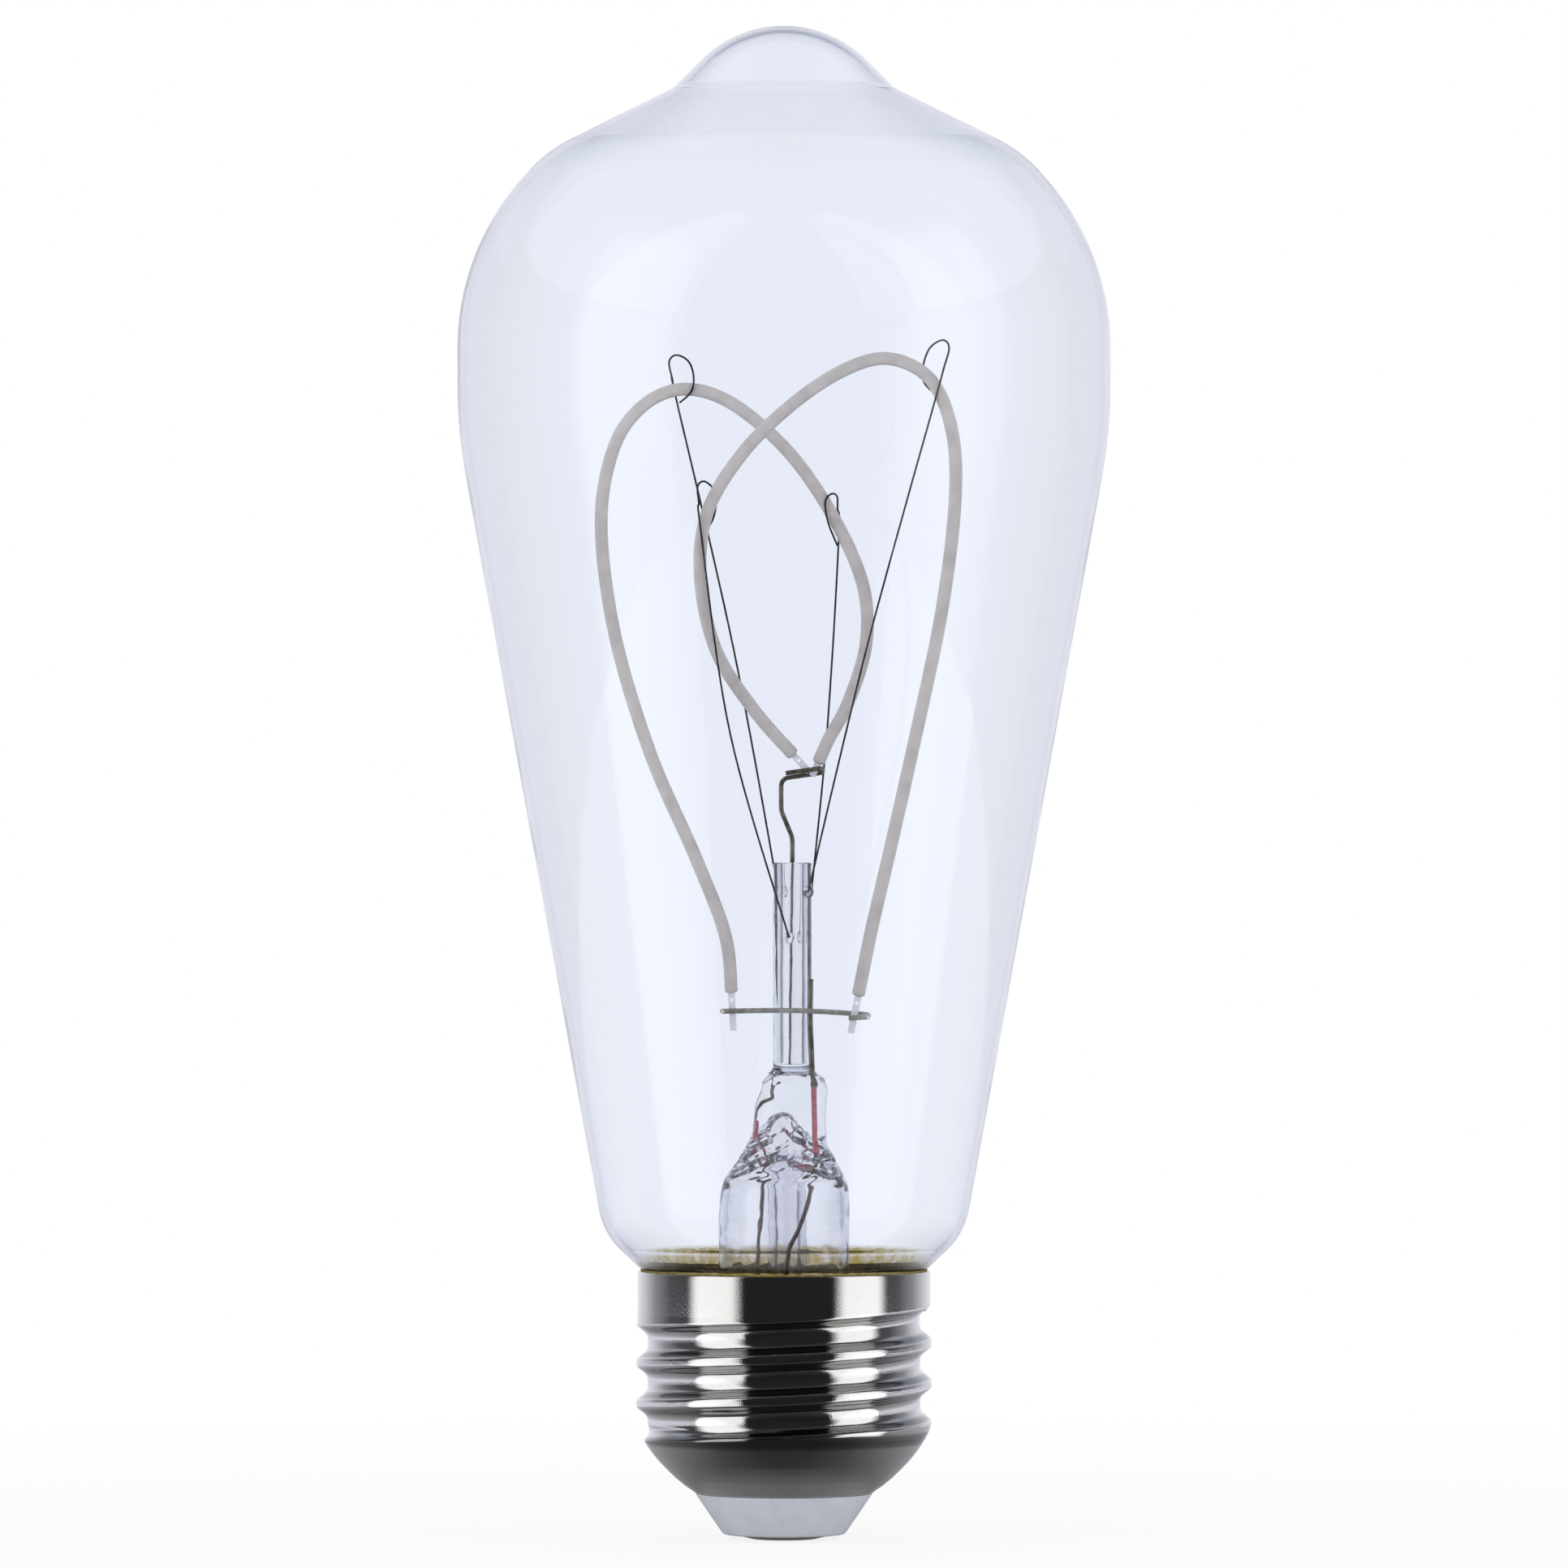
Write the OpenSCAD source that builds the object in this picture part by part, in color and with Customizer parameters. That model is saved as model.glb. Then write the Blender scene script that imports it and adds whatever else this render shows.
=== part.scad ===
// Filament lamp with a tapered clear bulb, a screw cap and two curved LED filaments.
// All sizes are in millimetres. The origin is the middle of the centre contact's flat face.
// +Z runs up the lamp's axis to the crown of the glass, -Y is the front and +X the right.

/* [Screw cap] */
// Height of the cap, from the contact's face to the rim of the shell
cap_h = 23.8; // [23:0.1:25]
// Outside diameter of the smooth skirt above the thread
skirt_d = 26; // [25.7:0.1:26.1]
// Diameter over the crests of the rolled thread
crest_d = 26.2; // [26.1:0.05:26.4]
// Diameter at the roots of the rolled thread
root_d = 24.2; // [24:0.05:24.4]
// Distance from one crest of the thread to the next
pitch = 3.63; // [3.5:0.01:3.7]
// Number of rolled crests
crests = 3; // [2:1:3]
// Height of the smooth skirt, from the end of the thread to the rim
skirt_h = 3.61; // [3.5:0.01:3.7]
// Thickness of the shell's sheet metal
shell_wall = 0.3; // [0.2:0.05:0.35]

/* [Insulator and contact] */
// Diameter of the insulator where it leaves the shell
insulator_top_d = 15.8; // [15:0.1:16]
// Diameter of the insulator's lower face
insulator_low_d = 10.8; // [10:0.1:12]
// Height of the shell's lower edge above the contact's face
shell_edge_z = 4.1; // [3.8:0.1:4.3]
// Thickness of the part of the insulator that lies inside the shell
insulator_inside = 1.4; // [1:0.1:1.6]
// Diameter of the contact's flat face
contact_d = 5.7; // [5:0.1:6]
// Diameter of the contact's head against the insulator
contact_head_d = 9; // [8:0.1:9.4]
// How far the contact stands out of the insulator
contact_proud = 0.4; // [0.3:0.05:0.7]
// Diameter of the contact's rivet shank
rivet_d = 2.5; // [2:0.1:3]
// Diameter of the hole in the rivet that takes the wire
rivet_bore_d = 1; // [0.9:0.1:1.2]

/* [Glass bulb] */
// Height of the whole lamp
lamp_h = 134.3; // [133:0.1:142]
// Greatest diameter of the glass
bulb_d = 58; // [56:0.5:62]
// Depth of the greatest diameter below the top of the lamp
belly_drop = 35.9; // [34.5:0.1:39]
// Diameter at the foot of the long taper
foot_d = 32.1; // [31:0.5:34]
// Height of the foot of the long taper above the rim of the shell
foot_rise = 3.3; // [3:0.1:5]
// Outside diameter of the neck inside the cap
neck_d = 24.6; // [24:0.1:24.8]
// How far the neck reaches down into the cap
neck_depth = 6.2; // [5.8:0.1:6.4]
// Thickness of the bulb's glass
glass_wall = 0.8; // [0.5:0.1:1]
// Diameter of the ring where the crown's dome meets the shoulder
crown_d = 19.6; // [18:0.5:22]
// Height of the crown's dome above that ring
crown_h = 5.5; // [4.8:0.1:6.5]

/* [Stem] */
// Outside diameter of the flare tube
flare_d = 11.6; // [11:0.1:12.4]
// Thickness of the flare's glass
flare_wall = 1; // [0.8:0.1:1.2]
// Height from the seal at the foot of the flare to the top of the press
stem_h = 23.7; // [22:0.1:28]
// Width of the press, left to right
press_w = 6.7; // [6.3:0.1:7.4]
// Thickness of the press, front to back
press_t = 5.6; // [5.4:0.1:6.4]
// Outside diameter of the glass column on the press
column_d = 3.4; // [3:0.1:3.6]
// Bore of the glass column
column_bore_d = 1.75; // [1.2:0.05:2]
// Length of the glass column
column_l = 18.75; // [14:0.25:24]
// How far the column stands to the right of the axis
column_x = 0.75; // [0.5:0.05:0.9]
// Outside diameter of the exhaust tube
exhaust_d = 3.4; // [3:0.1:3.6]
// Bore of the exhaust tube
exhaust_bore_d = 1.8; // [1.4:0.1:2]
// Length of the exhaust tube below the press
exhaust_l = 19; // [12:0.5:20]

/* [Leads] */
// Diameter of the upper lead
upper_lead_d = 0.42; // [0.35:0.01:0.5]
// Diameter of the lower lead
lower_lead_d = 0.5; // [0.4:0.01:0.6]
// How far the lower lead stands up out of the press
lower_lead_rise = 8.45; // [7:0.05:10]
// Diameter of the crossbar's wire
bar_d = 0.47; // [0.4:0.01:0.55]
// Length of the crossbar
bar_l = 13.1; // [12:0.1:15]
// Height of the crossbar above the press
bar_rise = 5.6; // [5:0.1:6.4]
// Length of the folds at the crossbar's ends
bar_fold = 1.6; // [1.2:0.1:2]
// Height of the upper lead's hairpin above the column
hairpin_rise = 7.6; // [6.5:0.1:9]
// Length of the hairpin
hairpin_l = 3.3; // [3:0.1:3.6]
// Diameter of the red sealing wires in the press
seal_wire_d = 0.36; // [0.3:0.01:0.42]
// Diameter of the copper leads below the press
outer_lead_d = 0.38; // [0.3:0.01:0.42]

/* [Filaments] */
// Height of the taller loop above the top of the column
loop_h = 44.6; // [44:0.1:45.2]
// Width of a filament's coat
filament_w = 1.15; // [1:0.05:1.3]
// Thickness of a filament's coat
filament_t = 0.9; // [0.8:0.05:1.1]
// Width of the strip inside the coat
strip_w = 0.5; // [0.4:0.05:0.55]
// Thickness of the strip inside the coat
strip_t = 0.1; // [0.08:0.01:0.12]
// Number of light chips on each strip
chips = 26; // [16:1:27]
// Length of a light chip
chip_l = 0.6; // [0.4:0.05:0.7]
// Width of a light chip
chip_w = 0.26; // [0.2:0.02:0.3]
// Thickness of a light chip
chip_t = 0.1; // [0.08:0.01:0.1]
// Width of a metal end tab
tab_w = 0.6; // [0.5:0.05:0.7]
// Thickness of a metal end tab
tab_t = 0.14; // [0.1:0.01:0.16]
// Length of a lower end tab
low_tab_l = 3.3; // [3:0.1:3.8]
// Length of the left filament's upper end tab
left_top_tab_l = 1.2; // [1.1:0.1:1.4]
// Length of the right filament's upper end tab
right_top_tab_l = 1.9; // [1.8:0.05:2]
// Diameter of the hole in an end tab
tab_hole_d = 0.28; // [0.2:0.02:0.32]

/* [Anchors] */
// Diameter of an anchor wire
anchor_d = 0.18; // [0.14:0.01:0.22]
// Diameter of a melted glass bead
bead_d = 1; // [0.8:0.05:1.2]
// Distance from the top of the column down to the upper beads
upper_bead_drop = 2.6; // [1.5:0.1:3.4]
// Distance from the top of the column down to the lower beads
lower_bead_drop = 6.65; // [5:0.05:9]

/* [Driver] */
// Height of the driver board's lower face above the contact's face
board_z = 6.4; // [6.2:0.1:7.2]
// Thickness of the driver board
board_t = 1; // [0.8:0.1:1.2]
// Diameter of the capacitor's can
capacitor_d = 5; // [4:0.1:5.4]
// Height of the capacitor's can
capacitor_h = 7; // [5:0.1:7.4]
// Diameter of the wires in the cap
cap_wire_d = 0.6; // [0.5:0.05:0.7]

/* [Clearances] */
// Gap between pieces that seat on or in each other
fit = 0.05; // [0.03:0.01:0.08]

/* [Hidden] */

// Fineness of round pieces, and the largest turn between two points of a rounded corner
$fn = 64;
arc_step = 12;

// Vectors, points at a corner's rounding, and points along a smooth curve

function unit(v) = v / norm(v);
function last(list) = list[len(list) - 1];
function reversed(list) = [for (i = [len(list) - 1 : -1 : 0]) list[i]];

// A round corner at b between the straight lines to a and c, as points on its arc
function corner_arc(a, b, c, r) =
    let (
        u = unit(a - b),
        v = unit(c - b),
        turn = 180 - acos(u * v),
        centre = b + unit(u + v) * r / cos(turn / 2),
        start = b + u * r * tan(turn / 2) - centre,
        end = b + v * r * tan(turn / 2) - centre,
        n = max(2, ceil(turn / arc_step))
    )
    [for (k = [0 : n]) centre + (sin((1 - k / n) * turn) * start + sin(k / n * turn) * end) / sin(turn)];

// A line bent at its corners, each with its own radius. It works for outlines and for wires.
function bent(p, r) = [
    p[0],
    for (i = [1 : len(p) - 2]) each (r[i] == 0 ? [p[i]] : corner_arc(p[i - 1], p[i], p[i + 1], r[i])),
    last(p)
];

// A smooth curve through the given points
function curve_point(a, b, c, d, t) =
    (2 * b + (c - a) * t + (2 * a - 5 * b + 4 * c - d) * t * t + (3 * b - a - 3 * c + d) * t * t * t) / 2;
function curve(p, steps) = [
    for (i = [0 : len(p) - 2])
        for (k = [0 : steps - 1])
            curve_point(p[max(i - 1, 0)], p[i], p[i + 1], p[min(i + 2, len(p) - 1)], k / steps),
    last(p)
];

// The same line as n equal stretches
function run_lengths(p) = [
    for (i = 0, s = 0; i < len(p); i = i + 1, s = i < len(p) ? s + norm(p[i] - p[i - 1]) : s) s
];
function even(p, n) =
    let (
        s = run_lengths(p),
        x = [for (i = [0 : len(p) - 1]) [s[i], p[i].x]],
        y = [for (i = [0 : len(p) - 1]) [s[i], p[i].y]],
        z = [for (i = [0 : len(p) - 1]) [s[i], p[i].z]]
    )
    [for (k = [0 : n]) let (at = last(s) * k / n) [lookup(at, x), lookup(at, y), lookup(at, z)]];

// Directions along a line, and side directions that turn with it but don't twist
function way(p, i) = unit(p[min(i + 1, len(p) - 1)] - p[min(i, len(p) - 2)]);
function directions(p) = [for (i = [0 : len(p) - 1]) unit(way(p, i) + way(p, max(i - 1, 0)))];
function sideways(d) = [
    for (
        i = 0, side = unit(cross(d[0], [0, 1, 0]));
        i < len(d);
        i = i + 1, side = i < len(d) ? unit(side - (side * d[i]) * d[i]) : side
    ) side
];

// Cross sections carried along a line
function round_section(r, n) = [for (k = [0 : n - 1]) [r * cos(360 * k / n), r * sin(360 * k / n)]];
function power(v, e) = sign(v) * pow(abs(v), e);
function soft_box_section(w, t, n, squareness) = [
    for (k = [0 : n - 1])
        let (a = 360 * (k + 0.5) / n)
        [w / 2 * power(cos(a), 2 / squareness), t / 2 * power(sin(a), 2 / squareness)]
];
function carried(path, section) =
    let (d = directions(path), side = sideways(d))
    [
        for (i = [0 : len(path) - 1])
            let (up = cross(d[i], side[i]))
            [for (s = section) path[i] + side[i] * s[0] + up * s[1]]
    ];

// A skin over rings of points: closed by its first and last ring, or joined round into a loop
module skin(rings, loop = false) {
    n = len(rings[0]);
    m = len(rings);
    spans = loop ? m : m - 1;
    sides = [
        for (i = [0 : spans - 1])
            for (j = [0 : n - 1])
                let (
                    a = i * n + j,
                    b = i * n + (j + 1) % n,
                    c = ((i + 1) % m) * n + (j + 1) % n,
                    d = ((i + 1) % m) * n + j
                )
                each [[a, c, b], [a, d, c]]
    ];
    first_cap = loop ? [] : [for (j = [1 : n - 2]) [0, j, j + 1]];
    last_cap = loop ? [] : [for (j = [1 : n - 2]) [(m - 1) * n, (m - 1) * n + j + 1, (m - 1) * n + j]];
    polyhedron(points = [for (ring = rings) each ring], faces = concat(sides, first_cap, last_cap));
}

module wire(path, d, sides = 8) {
    skin(carried(path, round_section(d / 2, sides)));
}

// A cylinder from one point to another
module rod(from, to, d) {
    along = to - from;
    translate(from)
        rotate([0, acos(along.z / norm(along)), atan2(along.y, along.x)])
            cylinder(h = norm(along), d = d, $fn = 32);
}

// An outline moved inwards by its wall, and a shell turned from the two
function inset(p, wall) =
    let (d = directions(p))
    [
        for (i = [0 : len(p) - 1])
            let (q = p[i] + [-d[i][1], d[i][0]] * wall / (way(p, i) * d[i]))
            [max(0, q[0]), q[1]]
    ];
module turned(outline) {
    rotate_extrude($fn = 96) polygon(outline);
}
function radius_at(outline, z) = lookup(z, [for (p = outline) [p[1], p[0]]]);

// Outline of the screw shell, from its lower edge up to the rim

skirt_z = cap_h - skirt_h;
low_crest_z = skirt_z - crests * pitch;
cone_foot = [insulator_top_d / 2 + 1, shell_edge_z + 0.75];
cone_slope = (crest_d / 2 - 0.28 - cone_foot[0]) / (low_crest_z - cone_foot[1]);
cone_head_z = low_crest_z - 1.2;
thread_steps = 10;
rim_round = 0.12;

function thread_r(z) =
    (root_d + crest_d) / 4 + (crest_d - root_d) / 4 * cos(360 * (z - low_crest_z) / pitch);
function cone_r(z) = cone_foot[0] + (z - cone_foot[1]) * cone_slope;
function shell_r(z) = min(thread_r(z), cone_r(z), z > skirt_z - pitch ? skirt_d / 2 : crest_d / 2);

shell_outline = [
    each bent(
        [[insulator_top_d / 2, shell_edge_z], cone_foot, [cone_r(cone_head_z), cone_head_z]],
        [0, 1.2, 0]
    ),
    for (k = [1 : crests * thread_steps + thread_steps / 2 - 3])
        let (z = cone_head_z + k * pitch / thread_steps)
        if (z < skirt_z - 0.2) [shell_r(z), z],
    [skirt_d / 2, skirt_z],
    [skirt_d / 2, cap_h - rim_round]
];
shell_inside = inset(shell_outline, shell_wall);

module screw_shell() {
    rim = [[skirt_d / 2 - rim_round, cap_h], [skirt_d / 2 - shell_wall, cap_h]];
    color([0.78, 0.77, 0.75])
        turned(concat(shell_outline, rim, reversed(shell_inside)));
}

// Insulator. The shell's lower edge sits on its shoulder, round a head that fills the cone.

insulator_head_z = shell_edge_z + insulator_inside;
insulator_round = 0.5;

module insulator() {
    shoulder_z = shell_edge_z - fit;
    waist_r = shell_inside[0][0] - 2 * fit;
    head_r = radius_at(shell_inside, insulator_head_z) - 2 * fit;
    color([0.74, 0.77, 0.82])
        turned(bent(
            [
                [rivet_d / 2 + fit, contact_proud],
                [insulator_low_d / 2, contact_proud],
                [insulator_top_d / 2, shoulder_z],
                [waist_r, shoulder_z],
                [waist_r, shell_inside[0][1]],
                [head_r, insulator_head_z],
                [rivet_d / 2 + fit, insulator_head_z]
            ],
            [0, insulator_round, 0, 0, 0, 0, 0]
        ));
}

// Centre contact: a head under the insulator and a hollow rivet peened over above it

rivet_head_d = rivet_d + 1.6;
rivet_head_h = 0.5;
rivet_bore_z = 2.4;

module centre_contact() {
    peened_z = insulator_head_z + fit;
    color([0.72, 0.70, 0.66])
        turned([
            [0, 0],
            [contact_d / 2, 0],
            [contact_head_d / 2, contact_proud],
            [rivet_d / 2, contact_proud],
            [rivet_d / 2, peened_z],
            [rivet_head_d / 2, peened_z],
            [rivet_d / 2, peened_z + rivet_head_h],
            [rivet_bore_d / 2, peened_z + rivet_head_h],
            [rivet_bore_d / 2, rivet_bore_z],
            [0, rivet_bore_z]
        ]);
}

// Glass bulb: crown, shoulder, long taper, and a neck that narrows to the seal in the cap

seal_z = cap_h - neck_depth;
seal_r = neck_d / 2 - 1.9;
neck_r = neck_d / 2;
neck_low_z = cap_h - 3.3;
neck_high_z = cap_h - 0.25;
crown_z = lamp_h - crown_h;
belly_z = lamp_h - belly_drop;
shoulder_top = [bulb_d / 2 - 7.8, crown_z - 5.7];
shoulder_low_z = crown_z - 14.6;

glass_outline = bent(
    [
        [0, lamp_h],
        [crown_d / 2 - crown_h, lamp_h],
        [crown_d / 2, crown_z],
        shoulder_top,
        [bulb_d / 2, shoulder_low_z],
        [bulb_d / 2, belly_z],
        [foot_d / 2, cap_h + foot_rise],
        [neck_r, neck_high_z],
        [neck_r, neck_low_z],
        [seal_r, seal_z + 0.7],
        [seal_r, seal_z]
    ],
    [0, 10.2, 2.5, 12.4, 22.6, 47, 6.6, 1.2, 1.2, 0.8, 0]
);

module glass_bulb() {
    color([0.88, 0.90, 0.98, 0.35])
        turned(concat(reversed(glass_outline), inset(glass_outline, -glass_wall)));
}

// Cement that fills the space between the neck and the skirt

module cement_ring() {
    low = skirt_z + fit;
    high = cap_h - 0.4;
    neck_side = [for (p = glass_outline) if (p[1] > low && p[1] < high) [p[0] + fit, p[1]]];
    color([0.62, 0.55, 0.30])
        turned(concat(
            [[skirt_d / 2 - shell_wall - fit, low], [skirt_d / 2 - shell_wall - fit, high]],
            [[radius_at(glass_outline, high) + fit, high]],
            neck_side,
            [[neck_r + fit, low]]
        ));
}

// Stem flare: a trumpet that is sealed to the neck, a tube, and the press squeezed shut above it

press_z = seal_z + stem_h;
flange_t = 1;
press_floor_z = press_z - 8.1;
tube_top_z = press_z - 12.8;
press_x = column_x + 0.15;
flare_sides = 28;

function ring(z, x, a, b, squareness) = [
    for (k = [0 : flare_sides - 1])
        let (t = 360 * k / flare_sides)
        [x + a * power(cos(t), 2 / squareness), b * power(sin(t), 2 / squareness), z]
];

trumpet_outline = bent(
    [
        [seal_r, seal_z - flange_t],
        [seal_r, seal_z],
        [flare_d / 2, seal_z],
        [flare_d / 2, tube_top_z]
    ],
    [0, 0, 3.5, 0]
);
trumpet_inside = bent(
    [
        [seal_r - 1, seal_z - flange_t],
        [flare_d / 2 - flare_wall, seal_z - flange_t],
        [flare_d / 2 - flare_wall, press_floor_z],
        [1.6, press_floor_z]
    ],
    [0, 4.4, 2.4, 0]
);
// Sections of the press as height, place to the right, half width, half thickness, squareness
press_sections = curve(
    [
        [tube_top_z, 0, flare_d / 2, flare_d / 2, 2],
        [press_z - 10, 0.1, flare_d / 2 - 0.2, flare_d / 2 - 0.3, 2],
        [press_z - 7.6, 0.2, flare_d / 2 - 1.5, flare_d / 2 - 1.8, 2.1],
        [press_z - 5.6, 0.4, press_w / 2, press_t / 2 + 0.3, 2.5],
        [press_z - 2.8, 0.6, press_w / 2 - 0.15, press_t / 2, 2.8],
        [press_z - 0.8, press_x, press_w / 2 - 0.4, press_t / 2 - 0.05, 2.8],
        [press_z, press_x, press_w / 2 - 1, press_t / 2 - 0.6, 2.6]
    ],
    2
);

module stem_flare() {
    inner = [for (p = reversed(trumpet_inside)) ring(p[1], 0, p[0], p[0], 2)];
    outer = [for (p = trumpet_outline) ring(p[1], 0, p[0], p[0], 2)];
    press = [for (i = [1 : len(press_sections) - 1])
        let (s = press_sections[i]) ring(s[0], s[1], s[2], s[3], s[4])];
    color([0.90, 0.92, 0.97, 0.45])
        difference() {
            skin(concat(inner, outer, press));
            wire(lead_kink, upper_lead_d + 2 * fit);
            rod(right_seal_foot - [0, 0, 2], right_seal_head + [0, 0, 3], lower_lead_d + 2 * fit);
            rod(left_seal_foot - [0, 0, 2], left_seal_head, outer_lead_d + 2 * fit);
            vent();
        }
}

// The exhaust hole, up from the exhaust tube and out through the front of the press
module vent() {
    translate([exhaust_x, 0, press_floor_z - 1])
        cylinder(h = 4.8, d = exhaust_bore_d, $fn = 32);
    translate([exhaust_x, 0, press_floor_z + 3])
        rotate([90, 0, 0])
            cylinder(h = press_t, d = exhaust_bore_d * 0.7, $fn = 32);
}

// Exhaust tube, drawn off and sealed at its tip

exhaust_x = 0.3;

module exhaust_tube() {
    r = exhaust_d / 2;
    bore = exhaust_bore_d / 2;
    top = press_floor_z - fit;
    tip = press_floor_z - exhaust_l;
    color([0.90, 0.92, 0.97, 0.45])
        translate([exhaust_x, 0, 0])
            turned(concat(
                bent([[0, tip], [0.5, tip], [r, tip + 3], [r, top]], [0, 0.3, 4, 0]),
                [[bore, top], [bore, tip + 3.2], [0, tip + 1.4]]
            ));
}

// Glass column on the press, and the beads melted out of it

column_top_z = press_z + column_l;

module support_column() {
    color([0.90, 0.92, 0.97, 0.45])
        translate([column_x, 0, press_z])
            difference() {
                cylinder(h = column_l, d = column_d);
                translate([0, 0, 0.8])
                    cylinder(h = column_l, d = column_bore_d);
            }
}

// A bead is centred just far enough out for its wire to clear the column
bead_r = (column_d + anchor_d) / 2 + 0.12;

function bead_place(angle, drop) = [
    column_x + bead_r * cos(angle),
    bead_r * sin(angle),
    column_top_z - drop
];

module anchor_beads() {
    color([0.90, 0.92, 0.97, 0.45])
        for (a = anchors)
            difference() {
                translate(anchor_path(a)[0])
                    rotate([0, 90, a[0]])
                        sphere(d = bead_d, $fn = 32);
                translate([column_x, 0, press_z])
                    cylinder(h = column_l, d = column_d + 2 * fit / 5);
                rod(
                    anchor_path(a)[0],
                    anchor_path(a)[0] + unit(anchor_path(a)[1] - anchor_path(a)[0]) * bead_d,
                    anchor_d + fit
                );
            }
}

// Leads. The crossbar passes in front of the column and is welded to the lower lead.

lower_lead_y = -1.5;
bar_y = lower_lead_y - lower_lead_d / 2 - bar_d / 2 - 0.01;
bar_z = press_z + bar_rise;
bar_left_x = column_x + 0.25 - bar_l / 2;
bar_right_x = bar_left_x + bar_l;
low_tab_y = bar_y - bar_d / 2 - tab_t / 2 - 0.02;
bar_fold_y = low_tab_y - tab_t / 2 - bar_d / 2 - 0.02;
low_tab_z = bar_z + 1.6;

right_seal_foot = [2.5, lower_lead_y, press_z - 7];
right_seal_head = [2.5, lower_lead_y, press_z - 1.3];
left_seal_foot = [-2, 0.2, press_z - 7];
left_seal_head = [-2, 0.2, press_z - 4.2];

upper_lead_y = column_d / 2 + upper_lead_d / 2 + 0.05;
hairpin_y = 0.6;
hairpin_z = column_top_z + hairpin_rise;
hairpin_right_x = column_x + 2.7;
hairpin_left_x = hairpin_right_x - hairpin_l;
top_tab_y = hairpin_y - upper_lead_d / 2 - tab_t / 2 - 0.02;
hairpin_fold_y = top_tab_y - tab_t / 2 - upper_lead_d / 2 - 0.02;

// The upper lead inside the press, from the left sealing wire to where it comes out behind the column
lead_kink = bent(
    [
        left_seal_head,
        left_seal_head + [0, 0, 0.9],
        [-1.7, 0.9, press_z - 2.7],
        [-0.8, 1.3, press_z - 2.3],
        [-0.6, upper_lead_y - 0.2, press_z - 1.2],
        [0.25, upper_lead_y, press_z - 0.6],
        [0.3, upper_lead_y, press_z + 1]
    ],
    [0, 0.4, 0.3, 0.3, 0.4, 0.4, 0]
);

module upper_lead() {
    rise = bent(
        [
            [0.3, upper_lead_y, press_z + 1],
            [0.45, upper_lead_y, press_z + 6.2],
            [column_x, upper_lead_y, column_top_z],
            [column_x, upper_lead_y - 0.5, column_top_z + 2.2],
            [column_x - 1, hairpin_y + 0.2, column_top_z + 4.6],
            [column_x - 1, hairpin_y, hairpin_z - 0.15],
            [hairpin_right_x, hairpin_y, hairpin_z + 0.4],
            [hairpin_right_x, hairpin_fold_y, hairpin_z + 0.8],
            [hairpin_left_x, hairpin_fold_y, hairpin_z + 0.35]
        ],
        [0, 0, 8, 2, 1.6, 0.75, 0.28, 0.28, 0]
    );
    color([0.62, 0.60, 0.52])
        wire(concat([for (i = [0 : len(lead_kink) - 2]) lead_kink[i]], rise), upper_lead_d);
}

module lower_lead() {
    color([0.60, 0.57, 0.48])
        wire(
            bent(
                [
                    right_seal_head + [0, 0, 0.01],
                    [right_seal_head.x, lower_lead_y, press_z],
                    [right_seal_head.x - 0.2, lower_lead_y, press_z + 5],
                    [right_seal_head.x - 0.15, lower_lead_y, press_z + lower_lead_rise]
                ],
                [0, 12, 20, 0]
            ),
            lower_lead_d
        );
}

module crossbar() {
    left = bar_left_x + bar_d / 2;
    right = bar_right_x - bar_d / 2;
    color([0.72, 0.70, 0.64])
        wire(
            bent(
                [
                    [left + bar_fold - 0.5, bar_fold_y, bar_z + 0.05],
                    [left - 0.15, bar_fold_y, bar_z],
                    [left - 0.15, bar_y, bar_z],
                    [column_x + 0.5, bar_y, bar_z + 0.12],
                    [right + 0.15, bar_y, bar_z - 0.3],
                    [right + 0.15, bar_fold_y, bar_z - 0.5],
                    [right - bar_fold, bar_fold_y, bar_z - 0.6]
                ],
                [0, 0.28, 0.28, 60, 0.28, 0.28, 0]
            ),
            bar_d
        );
}

module seal_wires() {
    color([0.62, 0.20, 0.22]) {
        rod(right_seal_foot, right_seal_head, seal_wire_d);
        rod(left_seal_foot, left_seal_head - [0, 0, 0.01], seal_wire_d);
    }
}

board_top_z = board_z + board_t;

module outer_lead_left() {
    color([0.55, 0.40, 0.28])
        wire(
            curve(
                [
                    left_seal_foot - [0, 0, 0.01],
                    left_seal_foot - [0, 0, 1],
                    [-1.8, 0.2, press_z - 9.4],
                    [-2.4, 0.1, press_z - 17],
                    [-2.8, -0.6, seal_z + 1],
                    [-2.6, -1.6, board_top_z + 4],
                    [-2.4, -1.8, board_top_z + 0.1]
                ],
                3
            ),
            outer_lead_d
        );
}

module outer_lead_right() {
    color([0.55, 0.40, 0.28])
        wire(
            curve(
                [
                    right_seal_foot - [0, 0, 0.01],
                    right_seal_foot - [0, 0, 1],
                    [2.6, -1.6, press_z - 9.4],
                    [1.6, -2.2, press_z - 13],
                    [0.2, -2.4, press_z - 16.8],
                    [-0.3, -2.8, seal_z + 1],
                    [0.4, -3.4, board_top_z + 4],
                    [0.6, -3.4, board_top_z + 0.1]
                ],
                3
            ),
            outer_lead_d
        );
}

// Routes of the two filaments, as points through which a smooth curve runs. The first point is
// on the crossbar and the last on the hairpin. The others are counted from the column's top, and
// are written down for the height of loop below.

left_top_x = hairpin_right_x - 0.45;
right_top_x = left_top_x - 2.1;

written_loop_h = 44.6;

function above_column(p) = [for (q = p) q * loop_h / written_loop_h + [0, 0, column_top_z]];

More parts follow.
